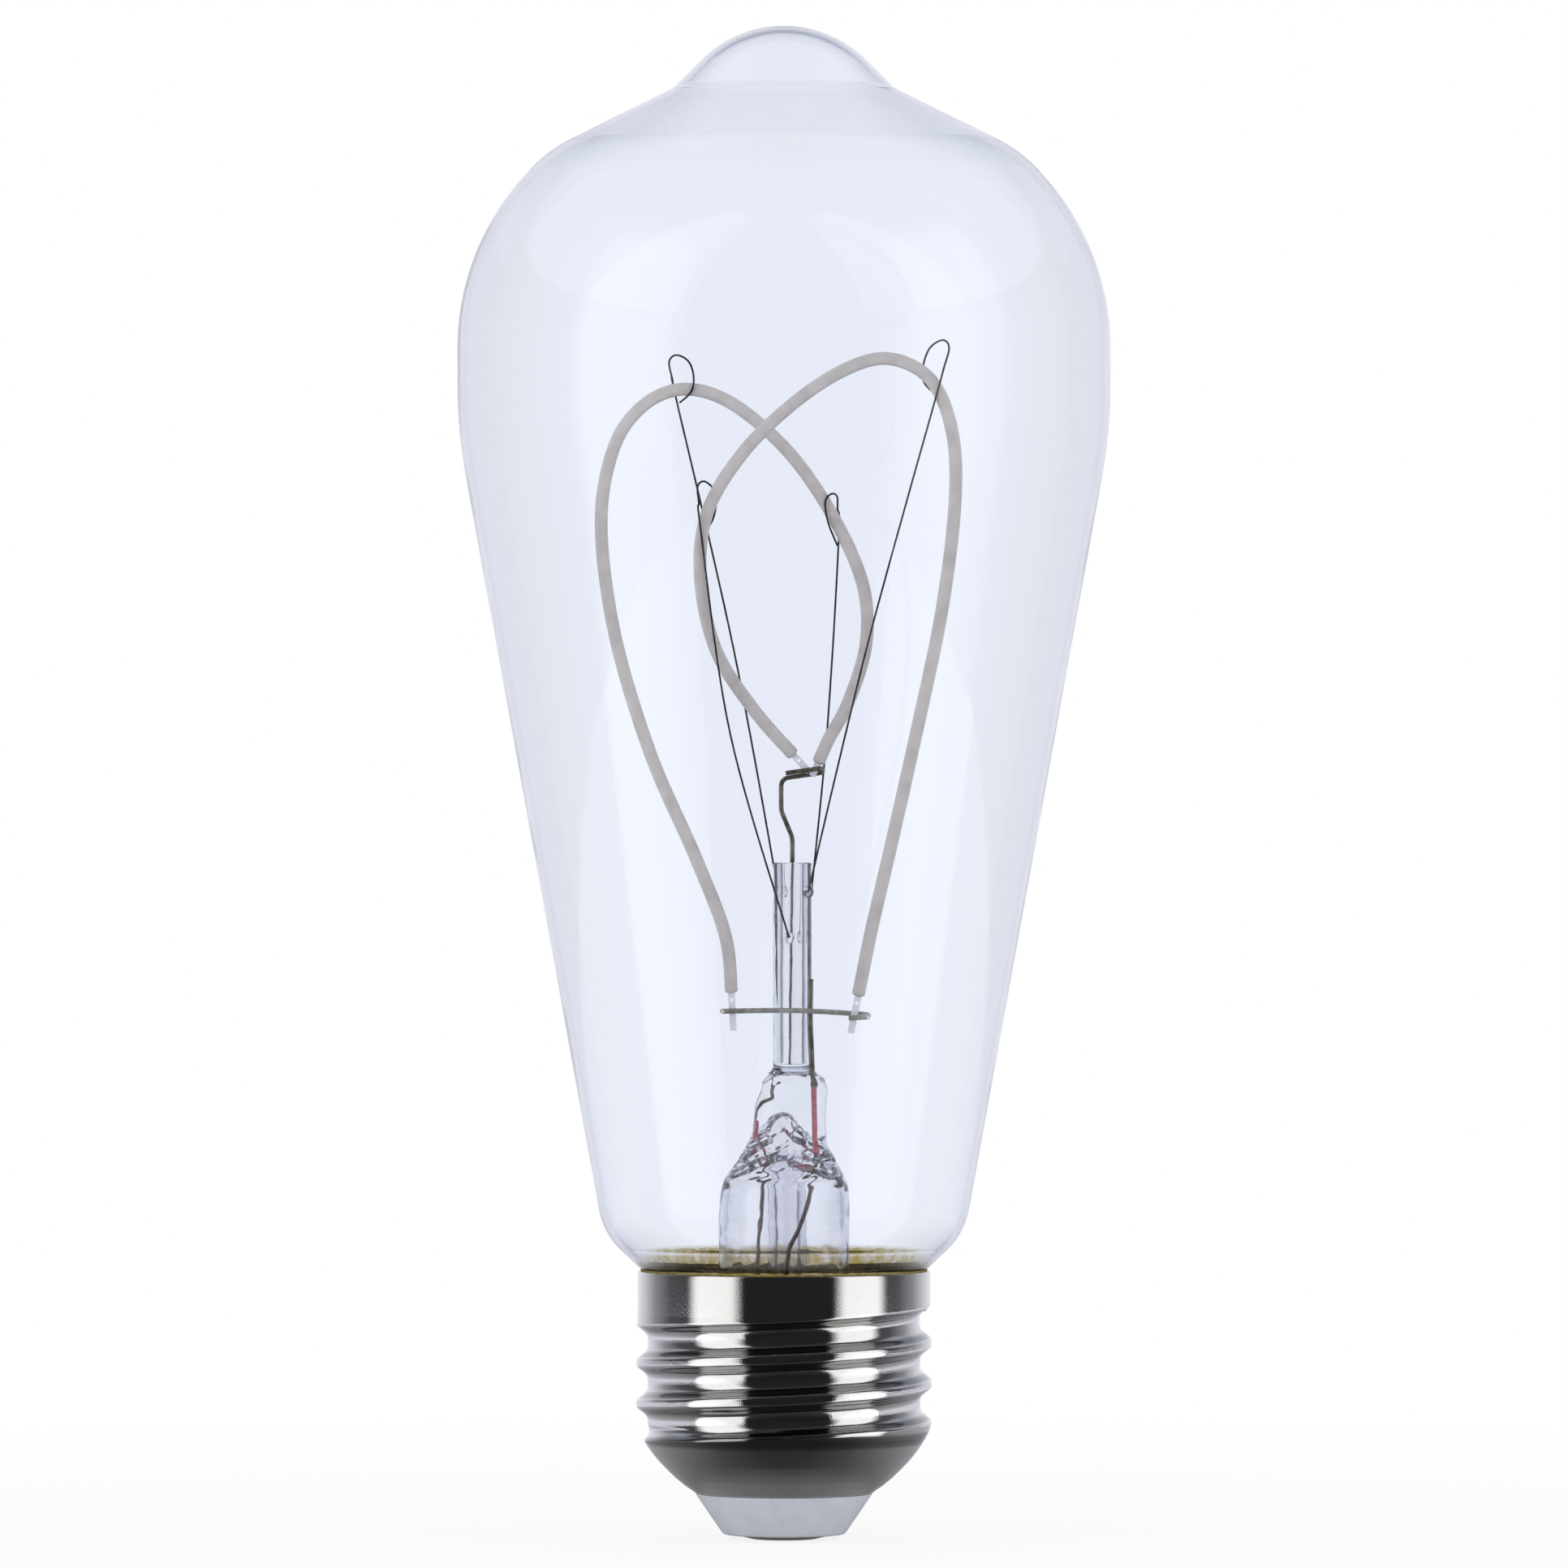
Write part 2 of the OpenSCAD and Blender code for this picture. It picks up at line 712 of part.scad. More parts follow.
left_route = concat(
    [[bar_left_x + 0.9, low_tab_y, low_tab_z]],
    above_column([
        [-5.2, -2.3, -6.4],
        [-7.8, -1.4, 0.4],
        [-11.8, 0.4, 9.5],
        [-15, 1.8, 20],
        [-16.3, 2.6, 30],
        [-15.2, 2.8, 36.8],
        [-12.6, 2.8, 40.6],
        [-8.9, 2.7, 42.1],
        [-4.6, 2.4, 40.8],
        [0.4, 2, 36.5],
        [4.3, 1.9, 30.9],
        [7, 1.9, 24.8],
        [7.3, 1.8, 19.4],
        [5.7, 1.3, 14.2],
        [4, 0.7, 11]
    ]),
    [[left_top_x, top_tab_y, hairpin_z + 1.2]]
);
right_route = concat(
    [[bar_right_x - 1, low_tab_y, low_tab_z - 0.3]],
    above_column([
        [7.8, -2.3, -5.7],
        [9.4, -2.4, 1.2],
        [11.6, -2.7, 11],
        [13.9, -3.1, 22],
        [15.1, -3.3, 31.5],
        [14.9, -3.3, 38],
        [13, -3.2, 42.7],
        [9.3, -3, 44.6],
        [5.3, -2.7, 43.6],
        [0.6, -2.2, 40.5],
        [-3.8, -2.3, 36.1],
        [-6.8, -2.4, 31],
        [-7.4, -2.3, 25.2],
        [-6, -1.6, 18.8],
        [-2.7, -0.4, 13.6]
    ]),
    [[right_top_x, top_tab_y, hairpin_z + 1.9]]
);
filament_rings = 2 * chips;
left_path = even(curve(left_route, 6), filament_rings);
right_path = even(curve(right_route, 6), filament_rings);

// The coat is hollow where the strip and its chips lie
module coat(path) {
    n = 10;
    outer = carried(path, soft_box_section(filament_w, filament_t, n, 3));
    inner = carried(path, soft_box_section(strip_w + 0.24, strip_t + 2 * chip_t + 0.14, n, 3.5));
    skin(concat(outer, reversed(inner)), loop = true);
}

module filament_left() {
    color([0.69, 0.66, 0.63])
        coat(left_path);
}

module filament_right() {
    color([0.69, 0.66, 0.63])
        coat(right_path);
}

module strip(path) {
    w = strip_w / 2;
    t = strip_t / 2;
    skin(carried(path, [[w, t], [-w, t], [-w, -t], [w, -t]]));
}

module filament_strip_left() {
    color([0.80, 0.60, 0.35])
        strip(left_path);
}

module filament_strip_right() {
    color([0.80, 0.60, 0.35])
        strip(right_path);
}

// One chip on every second stretch of the strip
module chip_row(path) {
    d = directions(path);
    side = sideways(d);
    for (k = [0 : chips - 1]) {
        i = 2 * k + 1;
        out = cross(d[i], side[i]);
        at = path[i] + out * (strip_t / 2 + chip_t / 2 + 0.01);
        multmatrix([
            [side[i].x, d[i].x, out.x, at.x],
            [side[i].y, d[i].y, out.y, at.y],
            [side[i].z, d[i].z, out.z, at.z],
            [0, 0, 0, 1]
        ])
            cube([chip_w, chip_l, chip_t], center = true);
    }
}

module led_chips_left() {
    color([0.30, 0.45, 0.75])
        chip_row(left_path);
}

module led_chips_right() {
    color([0.30, 0.45, 0.75])
        chip_row(right_path);
}

// A flat tab that carries on from a filament's end, with a small hole
module tab(end, inner, l) {
    along = end - inner;
    translate(end)
        rotate([0, atan2(along.x, along.z), 0])
            difference() {
                translate([-tab_w / 2, -tab_t / 2, 0.02])
                    cube([tab_w, tab_t, l]);
                translate([0, tab_t, 0.6])
                    rotate([90, 0, 0])
                        cylinder(h = 2 * tab_t, d = tab_hole_d, $fn = 24);
            }
}

module end_tabs_left() {
    color([0.80, 0.80, 0.80]) {
        tab(left_path[0], left_path[1], low_tab_l);
        tab(last(left_path), left_path[len(left_path) - 2], left_top_tab_l);
    }
}

module end_tabs_right() {
    color([0.80, 0.80, 0.80]) {
        tab(right_path[0], right_path[1], low_tab_l);
        tab(last(right_path), right_path[len(right_path) - 2], right_top_tab_l);
    }
}

// Anchor wires. Each row gives the bead's angle round the column and its drop from the column's
// top, the point of the filament that the hook holds, the hook's width to the right, its reach
// above and below the filament, its lean to the right in degrees, the side on which the upright
// passes the filament (1 behind, -1 in front), and the wire's bow to the right at mid length.

anchors = [
    [131, upper_bead_drop, left_route[8], 1.9, 3.1, 0.9, -11, 1, 0.5],
    [-99, lower_bead_drop, right_route[12], 1.5, 2.8, 1.5, -4, -1, -1.3],
    [49, lower_bead_drop, left_route[11], -1.1, 1.9, 2.2, -2, 1, 0.35],
    [-43, upper_bead_drop, right_route[7], -1.8, 3.7, 0.8, 15, -1, -0.4]
];

function hook(p, w, up, down, lean, back) =
    let (
        y = back * (filament_t / 2 + anchor_d / 2 + 0.12),
        outline = [
            [0, -down, y],
            [0, 0.3 * up, y],
            [0, 0.85 * up, 0.6 * y],
            [0.4 * w, up, -0.3 * y],
            [0.9 * w, 0.75 * up, -y],
            [w, 0.3 * up, -y],
            [0.75 * w, -0.4 * down, -y],
            [0.12 * w, -1.25 * down, -0.9 * y]
        ]
    )
    [
        for (q = outline)
            let (u = q[0] - 0.45 * w, v = q[1])
            p + [u * cos(lean) + v * sin(lean), q[2], v * cos(lean) - u * sin(lean)]
    ];

function anchor_path(a) =
    let (
        eye = hook(a[2], a[3], a[4], a[5], a[6], a[7]),
        bead = bead_place(a[0], a[1]),
        mid = (bead + eye[0]) / 2 + [a[8], 0, 0]
    )
    curve(concat([bead, mid], eye), 2);

module anchor(a) {
    color([0.30, 0.29, 0.28])
        wire(anchor_path(a), anchor_d, 6);
}

module anchor_outer_left() {
    anchor(anchors[0]);
}

module anchor_inner_left() {
    anchor(anchors[1]);
}

module anchor_inner_right() {
    anchor(anchors[2]);
}

module anchor_outer_right() {
    anchor(anchors[3]);
}

// Driver board, seated in the cone of the shell, and the parts soldered on it

board_r = radius_at(shell_inside, board_z) - 2 * fit;
wire_hole_d = cap_wire_d + 0.4;

module driver_board() {
    color([0.16, 0.42, 0.24])
        translate([0, 0, board_z])
            difference() {
                cylinder(h = board_t, r = board_r);
                translate([0, 0, -1])
                    cylinder(h = board_t + 2, d = wire_hole_d, $fn = 32);
            }
}

// A moulded part with a row of legs along two sides, standing on the board
module moulded_part(l, w, h, legs) {
    leg_w = 0.5;
    leg_t = 0.2;
    leg_l = w + 1.6;
    translate([-l / 2, -w / 2, leg_t / 2])
        cube([l, w, h]);
    for (k = [0 : legs - 1])
        translate([(k + 0.5) * l / legs - l / 2 - leg_w / 2, -leg_l / 2, 0])
            cube([leg_w, leg_l, leg_t]);
}

module bridge_rectifier() {
    color([0.13, 0.13, 0.14])
        translate([5.1, 3.1, board_top_z])
            moulded_part(4.4, 3.6, 1.4, 2);
}

module driver_chip() {
    color([0.13, 0.13, 0.14])
        translate([5, -3.2, board_top_z])
            moulded_part(4.9, 3.6, 1.5, 4);
}

module smoothing_capacitor() {
    crimp_z = 1.2;
    color([0.20, 0.22, 0.30])
        translate([-5.5, -2.6, board_top_z])
            turned(bent(
                [
                    [0, 0],
                    [capacitor_d / 2, 0],
                    [capacitor_d / 2, crimp_z - 0.3],
                    [capacitor_d / 2 - 0.25, crimp_z],
                    [capacitor_d / 2, crimp_z + 0.3],
                    [capacitor_d / 2, capacitor_h],
                    [0, capacitor_h]
                ],
                [0, 0.2, 0, 0, 0, 0.4, 0]
            ));
}

module chip_resistors() {
    color([0.85, 0.85, 0.82])
        for (place = [[0.5, 6.6], [0.5, -6.6], [-3.4, -7]])
            translate([place[0] - 1.6, place[1] - 0.8, board_top_z])
                cube([3.2, 1.6, 0.6]);
}

module fusible_resistor() {
    body_d = 2.2;
    body_l = 5.2;
    leg_d = 0.6;
    axis_z = board_top_z + body_d / 2 + 0.1;
    color([0.35, 0.55, 0.45])
        translate([-4.4, 3.6, 0]) {
            translate([-body_l / 2, 0, axis_z])
                rotate([0, 90, 0])
                    cylinder(h = body_l, d = body_d, $fn = 32);
            for (side = [-1, 1])
                translate([side * (body_l / 2 + 0.35), 0, board_top_z])
                    cylinder(h = axis_z - board_top_z + leg_d / 2, d = leg_d, $fn = 24);
            translate([-body_l / 2 - 0.35, 0, axis_z])
                rotate([0, 90, 0])
                    cylinder(h = body_l + 0.7, d = leg_d - 0.1, $fn = 24);
        }
}

// Wires from the contact and the shell to the board

module contact_wire() {
    color([0.75, 0.20, 0.15])
        wire(
            bent(
                [
                    [0, 0, rivet_bore_z + 0.1],
                    [0, 0, board_top_z + 1.1],
                    [0, 2.2, board_top_z + 1.1],
                    [0, 2.2, board_top_z + 0.05]
                ],
                [0, 0.8, 0.8, 0]
            ),
            cap_wire_d
        );
}

module shell_wire() {
    reach = root_d / 2 - shell_wall - cap_wire_d / 2 - fit;
    color([0.20, 0.25, 0.70])
        wire(
            bent(
                [
                    [board_r - 1.4, 0, board_top_z + 0.05],
                    [board_r - 1.4, 0, board_top_z + 1.4],
                    [reach, 0, board_top_z + 2.6],
                    [reach, 0, seal_z - 0.3]
                ],
                [0, 0.8, 1, 0]
            ),
            cap_wire_d
        );
}

glass_bulb();
stem_flare();
exhaust_tube();
support_column();
anchor_beads();
anchor_outer_left();
anchor_inner_left();
anchor_inner_right();
anchor_outer_right();
upper_lead();
lower_lead();
crossbar();
seal_wires();
outer_lead_left();
outer_lead_right();
filament_left();
filament_right();
filament_strip_left();
filament_strip_right();
led_chips_left();
led_chips_right();
end_tabs_left();
end_tabs_right();
screw_shell();
insulator();
centre_contact();
cement_ring();
driver_board();
bridge_rectifier();
smoothing_capacitor();
driver_chip();
chip_resistors();
fusible_resistor();
contact_wire();
shell_wire();
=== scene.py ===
import bpy
import numpy as np
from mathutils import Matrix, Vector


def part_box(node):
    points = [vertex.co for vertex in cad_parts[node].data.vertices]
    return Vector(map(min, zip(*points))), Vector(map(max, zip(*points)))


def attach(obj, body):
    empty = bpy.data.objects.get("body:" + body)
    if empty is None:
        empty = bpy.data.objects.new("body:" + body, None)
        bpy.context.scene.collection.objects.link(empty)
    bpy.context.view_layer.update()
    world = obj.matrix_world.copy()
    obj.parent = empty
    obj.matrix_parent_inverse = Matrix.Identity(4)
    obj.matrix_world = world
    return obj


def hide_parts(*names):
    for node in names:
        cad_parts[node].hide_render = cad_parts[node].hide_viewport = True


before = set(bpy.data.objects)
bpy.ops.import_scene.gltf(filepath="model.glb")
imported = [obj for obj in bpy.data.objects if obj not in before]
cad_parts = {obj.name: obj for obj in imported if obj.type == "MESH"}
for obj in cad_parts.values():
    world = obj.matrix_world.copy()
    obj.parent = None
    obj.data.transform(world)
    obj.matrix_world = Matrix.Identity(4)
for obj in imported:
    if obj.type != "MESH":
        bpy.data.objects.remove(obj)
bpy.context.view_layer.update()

# STEM FLARE
# A trumpet of clear soft glass. Its foot is sealed to the neck of the bulb, and its head was
# squeezed shut over the leads while it was hot. Sizes here and below are in millimetres.


def side_of(node, side, axis):
    """Where a node's box ends in the frame, in millimetres to a hundredth: on its low side, 0,
    or its high side, 1, along the axis 0, 1 or 2."""
    return round(1000 * float(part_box(node)[side][axis]), 2)


seal_z = side_of("glass_bulb", 0, 2)
seal_r = side_of("stem_flare", 1, 0)
press_z = side_of("stem_flare", 1, 2)
press_x, press_floor_z = 0.9, press_z - 8.1
flare_r, bore_r = 5.8, 5.1
tube_h, stem_sides = 12.8, 144


def rounded(corners, radii, step=3.0):
    """A line with arcs for corners: an arc starts radius * tan(turn / 2) before its corner and
    ends as far behind it, and each of its points is a weighted turn from its first to its last."""
    p = np.array(corners, float)
    line = [p[:1]]
    for a, b, c, r in zip(p[:-2], p[1:-1], p[2:], radii[1:-1]):
        u, v = (a - b) / np.linalg.norm(a - b), (c - b) / np.linalg.norm(c - b)
        turn = np.pi - np.arccos(np.clip(u @ v, -1, 1))
        if r == 0 or turn < 1e-6:
            line.append(b[None])
            continue
        middle = b + (u + v) / np.linalg.norm(u + v) * r / np.cos(turn / 2)
        first, last = b + u * r * np.tan(turn / 2) - middle, b + v * r * np.tan(turn / 2) - middle
        t = np.linspace(0, 1, max(2, int(np.degrees(turn) / step)) + 1)[:, None]
        line.append(middle + (np.sin((1 - t) * turn) * first + np.sin(t * turn) * last) / np.sin(turn))
    return np.concatenate(line + [p[-1:]])


def stepped(line, length, turn):
    """The same line in even steps, each worth one length run or one turn (in degrees) made."""
    d = np.diff(line, axis=0)
    run = np.linalg.norm(d, axis=1)
    keep = run > 1e-9
    line, d, run = line[np.r_[True, keep]], d[keep], run[keep]
    way = d / run[:, None]
    bend = np.degrees(np.arccos(np.clip((way[1:] * way[:-1]).sum(1), -1, 1)))
    worth = run / length + (np.r_[0, bend] + np.r_[bend, 0]) / 2 / turn
    at = np.r_[0, np.cumsum(worth)]
    even = np.linspace(0, at[-1], int(np.ceil(at[-1])) + 1)
    return np.stack([np.interp(even, at, line[:, k]) for k in range(line.shape[1])], 1)


def turned(outline, sides, x=0.0):
    """Rings of a lathe form: point (r, z) of the outline becomes (x + r cos a, r sin a, z)."""
    a = np.arange(sides) * 2 * np.pi / sides
    r, z = outline[:, :1], outline[:, 1:]
    return np.stack([x + r * np.cos(a), r * np.sin(a), z + 0 * a], 2)


def skinned(rings, loop=False):
    """Points and faces of the skin over an array of rings. A ring that has shrunk to one point
    becomes a pole, and with loop the last ring is joined to the first."""
    m, n = rings.shape[:2]
    index = np.arange(m * n).reshape(m, n)
    pole = np.ptp(rings, axis=1).max(1) < 1e-7
    index[pole] = index[pole][:, :1]
    low, high = (index, np.roll(index, -1, 0)) if loop else (index[:-1], index[1:])
    quads = np.stack([low, np.roll(low, -1, 1), np.roll(high, -1, 1), high], 2).reshape(-1, 4)
    used, quads = np.unique(quads, return_inverse=True)
    quads = quads.reshape(-1, 4)
    at_low, at_high = quads[:, 0] == quads[:, 1], quads[:, 2] == quads[:, 3]
    whole = quads[~at_low & ~at_high]
    fans = np.concatenate([quads[at_low & ~at_high][:, [0, 2, 3]], quads[at_high & ~at_low][:, :3]])
    return rings.reshape(-1, 3)[used], whole, fans


def piece(name, skins, finish, nodes, sharp=40):
    """One object of one or more skins, each turned so that the volume under its faces, the sum
    of a . (b x c) over its triangles, is positive."""
    points, faces, count = [], [], 0
    for p, quads, fans in skins:
        tri = np.concatenate([quads[:, :3], quads[:, [0, 2, 3]], fans])
        a, b, c = (p[tri[:, i]] - p.mean(0) for i in range(3))
        if (a * np.cross(b, c)).sum() < 0:
            quads, fans = quads[:, ::-1], fans[:, ::-1]
        points.append(p)
        faces += (quads + count).tolist() + (fans + count).tolist()
        count += len(p)
    mesh = bpy.data.meshes.new(name)
    mesh.from_pydata(np.concatenate(points) / 1000, [], faces)
    mesh.polygons.foreach_set("use_smooth", np.ones(len(faces), bool))
    mesh.set_sharp_from_angle(angle=np.radians(sharp))
    mesh.materials.append(finish)
    mesh.update()
    made = bpy.data.objects.new(name, mesh)
    bpy.context.scene.collection.objects.link(made)
    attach(made, "root")
    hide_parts(*nodes)


def shade(red, green, blue):
    """A colour as it is read off a screen, 0 to 255, as the light that it stands for: each
    part c of 1 is ((c + 0.055) / 1.055) ^ 2.4."""
    c = np.array([red, green, blue]) / 255
    return (*np.where(c > 0.04045, ((c + 0.055) / 1.055) ** 2.4, c / 12.92), 1.0)


def clear_glass(name, face_on, edge_on, tint_span, ior, wave, wave_size, gloss, clearness=1.0):
    """Glass with a tint that changes where it is seen edge on, and slow waves in its surface
    from a noise on the object's coordinates. Lamps shine through it onto what it holds."""
    glass = bpy.data.materials.new(name)
    glass.use_nodes = True
    nodes, links = glass.node_tree.nodes, glass.node_tree.links
    body, out = nodes["Principled BSDF"], nodes["Material Output"]
    body.inputs["Roughness"].default_value = 0.0
    body.inputs["IOR"].default_value = ior
    body.inputs["Transmission Weight"].default_value = clearness
    body.inputs["Specular Tint"].default_value = gloss
    edge = nodes.new("ShaderNodeLayerWeight")
    edge.inputs["Blend"].default_value = 0.5
    tint = nodes.new("ShaderNodeValToRGB")
    tint.color_ramp.elements[0].color = face_on
    tint.color_ramp.elements[1].color = edge_on
    tint.color_ramp.elements[0].position, tint.color_ramp.elements[1].position = tint_span
    links.new(edge.outputs["Facing"], tint.inputs["Fac"])
    links.new(tint.outputs["Color"], body.inputs["Base Color"])
    place = nodes.new("ShaderNodeTexCoord")
    noise = nodes.new("ShaderNodeTexNoise")
    noise.inputs["Scale"].default_value = 1000 / wave_size
    noise.inputs["Detail"].default_value = 1.0
    bump = nodes.new("ShaderNodeBump")
    bump.inputs["Strength"].default_value = 1.0
    bump.inputs["Distance"].default_value = wave / 1000
    links.new(place.outputs["Object"], noise.inputs["Vector"])
    links.new(noise.outputs["Fac"], bump.inputs["Height"])
    links.new(bump.outputs["Normal"], body.inputs["Normal"])
    ray, clear, mix = (
        nodes.new("ShaderNode" + k) for k in ("LightPath", "BsdfTransparent", "MixShader")
    )
    links.new(ray.outputs["Is Shadow Ray"], mix.inputs["Fac"])
    links.new(body.outputs["BSDF"], mix.inputs[1])
    links.new(clear.outputs["BSDF"], mix.inputs[2])
    links.new(mix.outputs["Shader"], out.inputs["Surface"])
    return glass


def ring(section, sides=64):
    """Rings (m, sides, 3) of rounded cross sections: for height z, place x, half width a, half
    depth b and squareness q, point t is x + a |cos t|^(2/q), b |sin t|^(2/q), with their signs."""
    z, x, a, b, q = (section[:, k, None] for k in range(5))
    t = np.arange(sides) * 2 * np.pi / sides
    c, s = np.cos(t), np.sin(t)
    across = np.sign(c) * np.abs(c) ** (2 / q)
    deep = np.sign(s) * np.abs(s) ** (2 / q)
    return np.stack([x + a * across, b * deep, z + 0 * t], 2)


def through(points, steps):
    """A smooth curve through points of any number of values, by the Catmull-Rom formula."""
    p = np.array(points, float)
    p = np.concatenate([p[:1], p, p[-1:]])
    t = (np.arange(steps) / steps)[:, None]
    runs = [
        (2 * b + (c - a) * t + (2 * a - 5 * b + 4 * c - d) * t**2 + (3 * b - a - 3 * c + d) * t**3) / 2
        for a, b, c, d in zip(p[:-3], p[1:-2], p[2:-1], p[3:])
    ]
    return np.concatenate(runs + [p[-1:]])


stem_glass = clear_glass(
    "stem glass",
    face_on=shade(252, 252, 254),
    edge_on=shade(226, 227, 231),
    tint_span=(0.75, 1),
    ior=1.54,
    wave=0.05,
    wave_size=1.8,
    gloss=(0.7, 0.7, 0.65, 1),
    clearness=0.965,
)

foot = rounded(
    [[seal_r, seal_z - 1], [seal_r, seal_z], [flare_r, seal_z], [flare_r, press_z - tube_h]],
    [0, 0, 3.5, 0],
)
bore = rounded([[seal_r - 1, seal_z - 1], [bore_r, seal_z - 1], [bore_r, press_z - tube_h]], [0, 4.1, 0])
# The cavity closes in a steep roof: each point is its radius and its height from the press's top.
roof = np.array(
    [[bore_r, -tube_h], [4.9, -10], [4.45, -9], [3.7, -8.1], [2.7, -7.1], [1.9, -5.9], [1.2, -4.6],
     [0.7, -3.7], [0, -3.4]]
)
roof = through(roof + [0, press_z], steps=8)
# Cross sections of the press: height from its top, middle, half width, half depth, squareness.
press = np.array(
    [
        [-tube_h, 0, flare_r, flare_r, 2],
        [-10, 0.1, 5.6, 5.5, 2],
        [-7.6, 0.2, 4.3, 4.0, 2.1],
        [-5.6, 0.4, 3.35, 3.1, 2.5],
        [-2.8, 0.6, 3.15, 2.8, 2.7],
        [-1.5, press_x, 2.97, 2.75, 2.6],
        [-0.6, press_x, 2.68, 2.6, 2.4],
        [-0.1, press_x, 2.2, 2.15, 2.2],
        [0, press_x, 1.6, 1.6, 2],
        [0, press_x, 0, 0, 2],
    ]
)
press = through(press + [press_z, 0, 0, 0, 0], steps=8)


def squeezed(rings, depth, low, high, over):
    """Rings with the lumps of glass that was pinched hot: each point's distance from the middle
    of its ring grows by a share, a sum of sines of its angle and height that fades in from the
    height low, in the length over, and out again up to high."""
    z = rings[..., 2]
    t = np.arange(rings.shape[1]) * 2 * np.pi / rings.shape[1]
    lumps = (
        np.sin(3 * t + 2.3 * z)
        + 0.7 * np.sin(5 * t - 3.1 * z + 1)
        + 0.5 * np.sin(8 * t + 4.7 * z + 2)
        + 0.4 * np.sin(11 * t - 7.3 * z)
        + 0.3 * np.sin(16 * t - 5.3 * z + 3 * np.sin(1.7 * z))
    )
    fade = np.clip((z - low) / over, 0, 1) * np.clip((high - z) / over, 0, 1)
    share = 1 + depth * lumps * fade
    middle = rings.mean(1, keepdims=True)
    made = rings.copy()
    made[..., :2] = middle[..., :2] + (rings - middle)[..., :2] * share[..., None]
    return made


foot, bore = stepped(foot, length=0.8, turn=6), stepped(bore, length=0.8, turn=6)
outside = np.concatenate([turned(foot, stem_sides), ring(press, stem_sides)[1:]])
outside[..., 2] = np.minimum(outside[..., 2], press_z)
# The jaws left lumps on the cone, on the shoulders of the press and in the cavity's roof.
outside = squeezed(outside, depth=0.018, low=press_z - 10.5, high=press_z - 4.5, over=1.5)
outside = squeezed(outside, depth=0.035, low=press_z - 1.4, high=press_z + 1.5, over=0.9)
inside = turned(np.concatenate([bore, roof[1:]]), stem_sides)
inside = squeezed(inside, depth=0.06, low=press_z - 10.4, high=press_z - 2, over=2.5)
piece(
    "stem_flare_glass",
    [skinned(np.concatenate([inside[::-1], outside]))],
    stem_glass,
    ["stem_flare"],
)

# EXHAUST TUBE
# The thin glass tube through which the bulb was emptied and filled, drawn off and sealed at its
# tip. It hangs from the floor of the press.

exhaust_x, exhaust_r, exhaust_bore_r = 0.3, 1.7, 0.9
tip_z, root_z = press_floor_z - 19, press_floor_z + 1.2
tube = rounded([[0, tip_z], [0.5, tip_z], [exhaust_r, tip_z + 3], [exhaust_r, root_z]], [0, 0.3, 4, 0])
hole = np.array([[exhaust_bore_r, root_z], [exhaust_bore_r, tip_z + 3.2], [0, tip_z + 1.4]])
tube, hole = stepped(tube, length=1.5, turn=6), stepped(hole, length=1.5, turn=6)
piece(
    "exhaust_tube_glass",
    [skinned(turned(np.concatenate([tube, hole]), sides=48, x=exhaust_x))],
    stem_glass,
    ["exhaust_tube"],
)

# SEALING WIRES
# Two short copper-clad wires, red with copper oxide, which the hot glass grips air-tight. The
# leads are welded to their ends.

right_seal_foot, right_seal_head = [2.5, -1.5, press_z - 7], [2.5, -1.5, press_z - 1.1]
left_seal_foot, left_seal_head = [-1.8, -0.2, press_z - 7], [-1.8, -0.2, press_z - 4.2]
seal_wire_r = 0.22


def wire(path, radius, sides=16, lean=(0.37, 0.29, 0.88)):
    """Rings of a round wire along a path: centre + r (cos t side + sin t up), where side is
    square to the path and to a fixed leaning line, and up is square to both."""
    way = np.gradient(path, axis=0)
    way /= np.linalg.norm(way, axis=1)[:, None]
    side = np.cross(way, lean)
    side /= np.linalg.norm(side, axis=1)[:, None]
    up = np.cross(way, side)
    t = (np.arange(sides) * 2 * np.pi / sides)[None, :, None]
    r = np.broadcast_to(radius, len(path))[:, None, None]
    rings = path[:, None] + r * (np.cos(t) * side[:, None] + np.sin(t) * up[:, None])
    ends = [np.repeat(path[k][None, None], sides, 1) for k in (0, -1)]
    return np.concatenate([ends[0], rings, ends[1]])


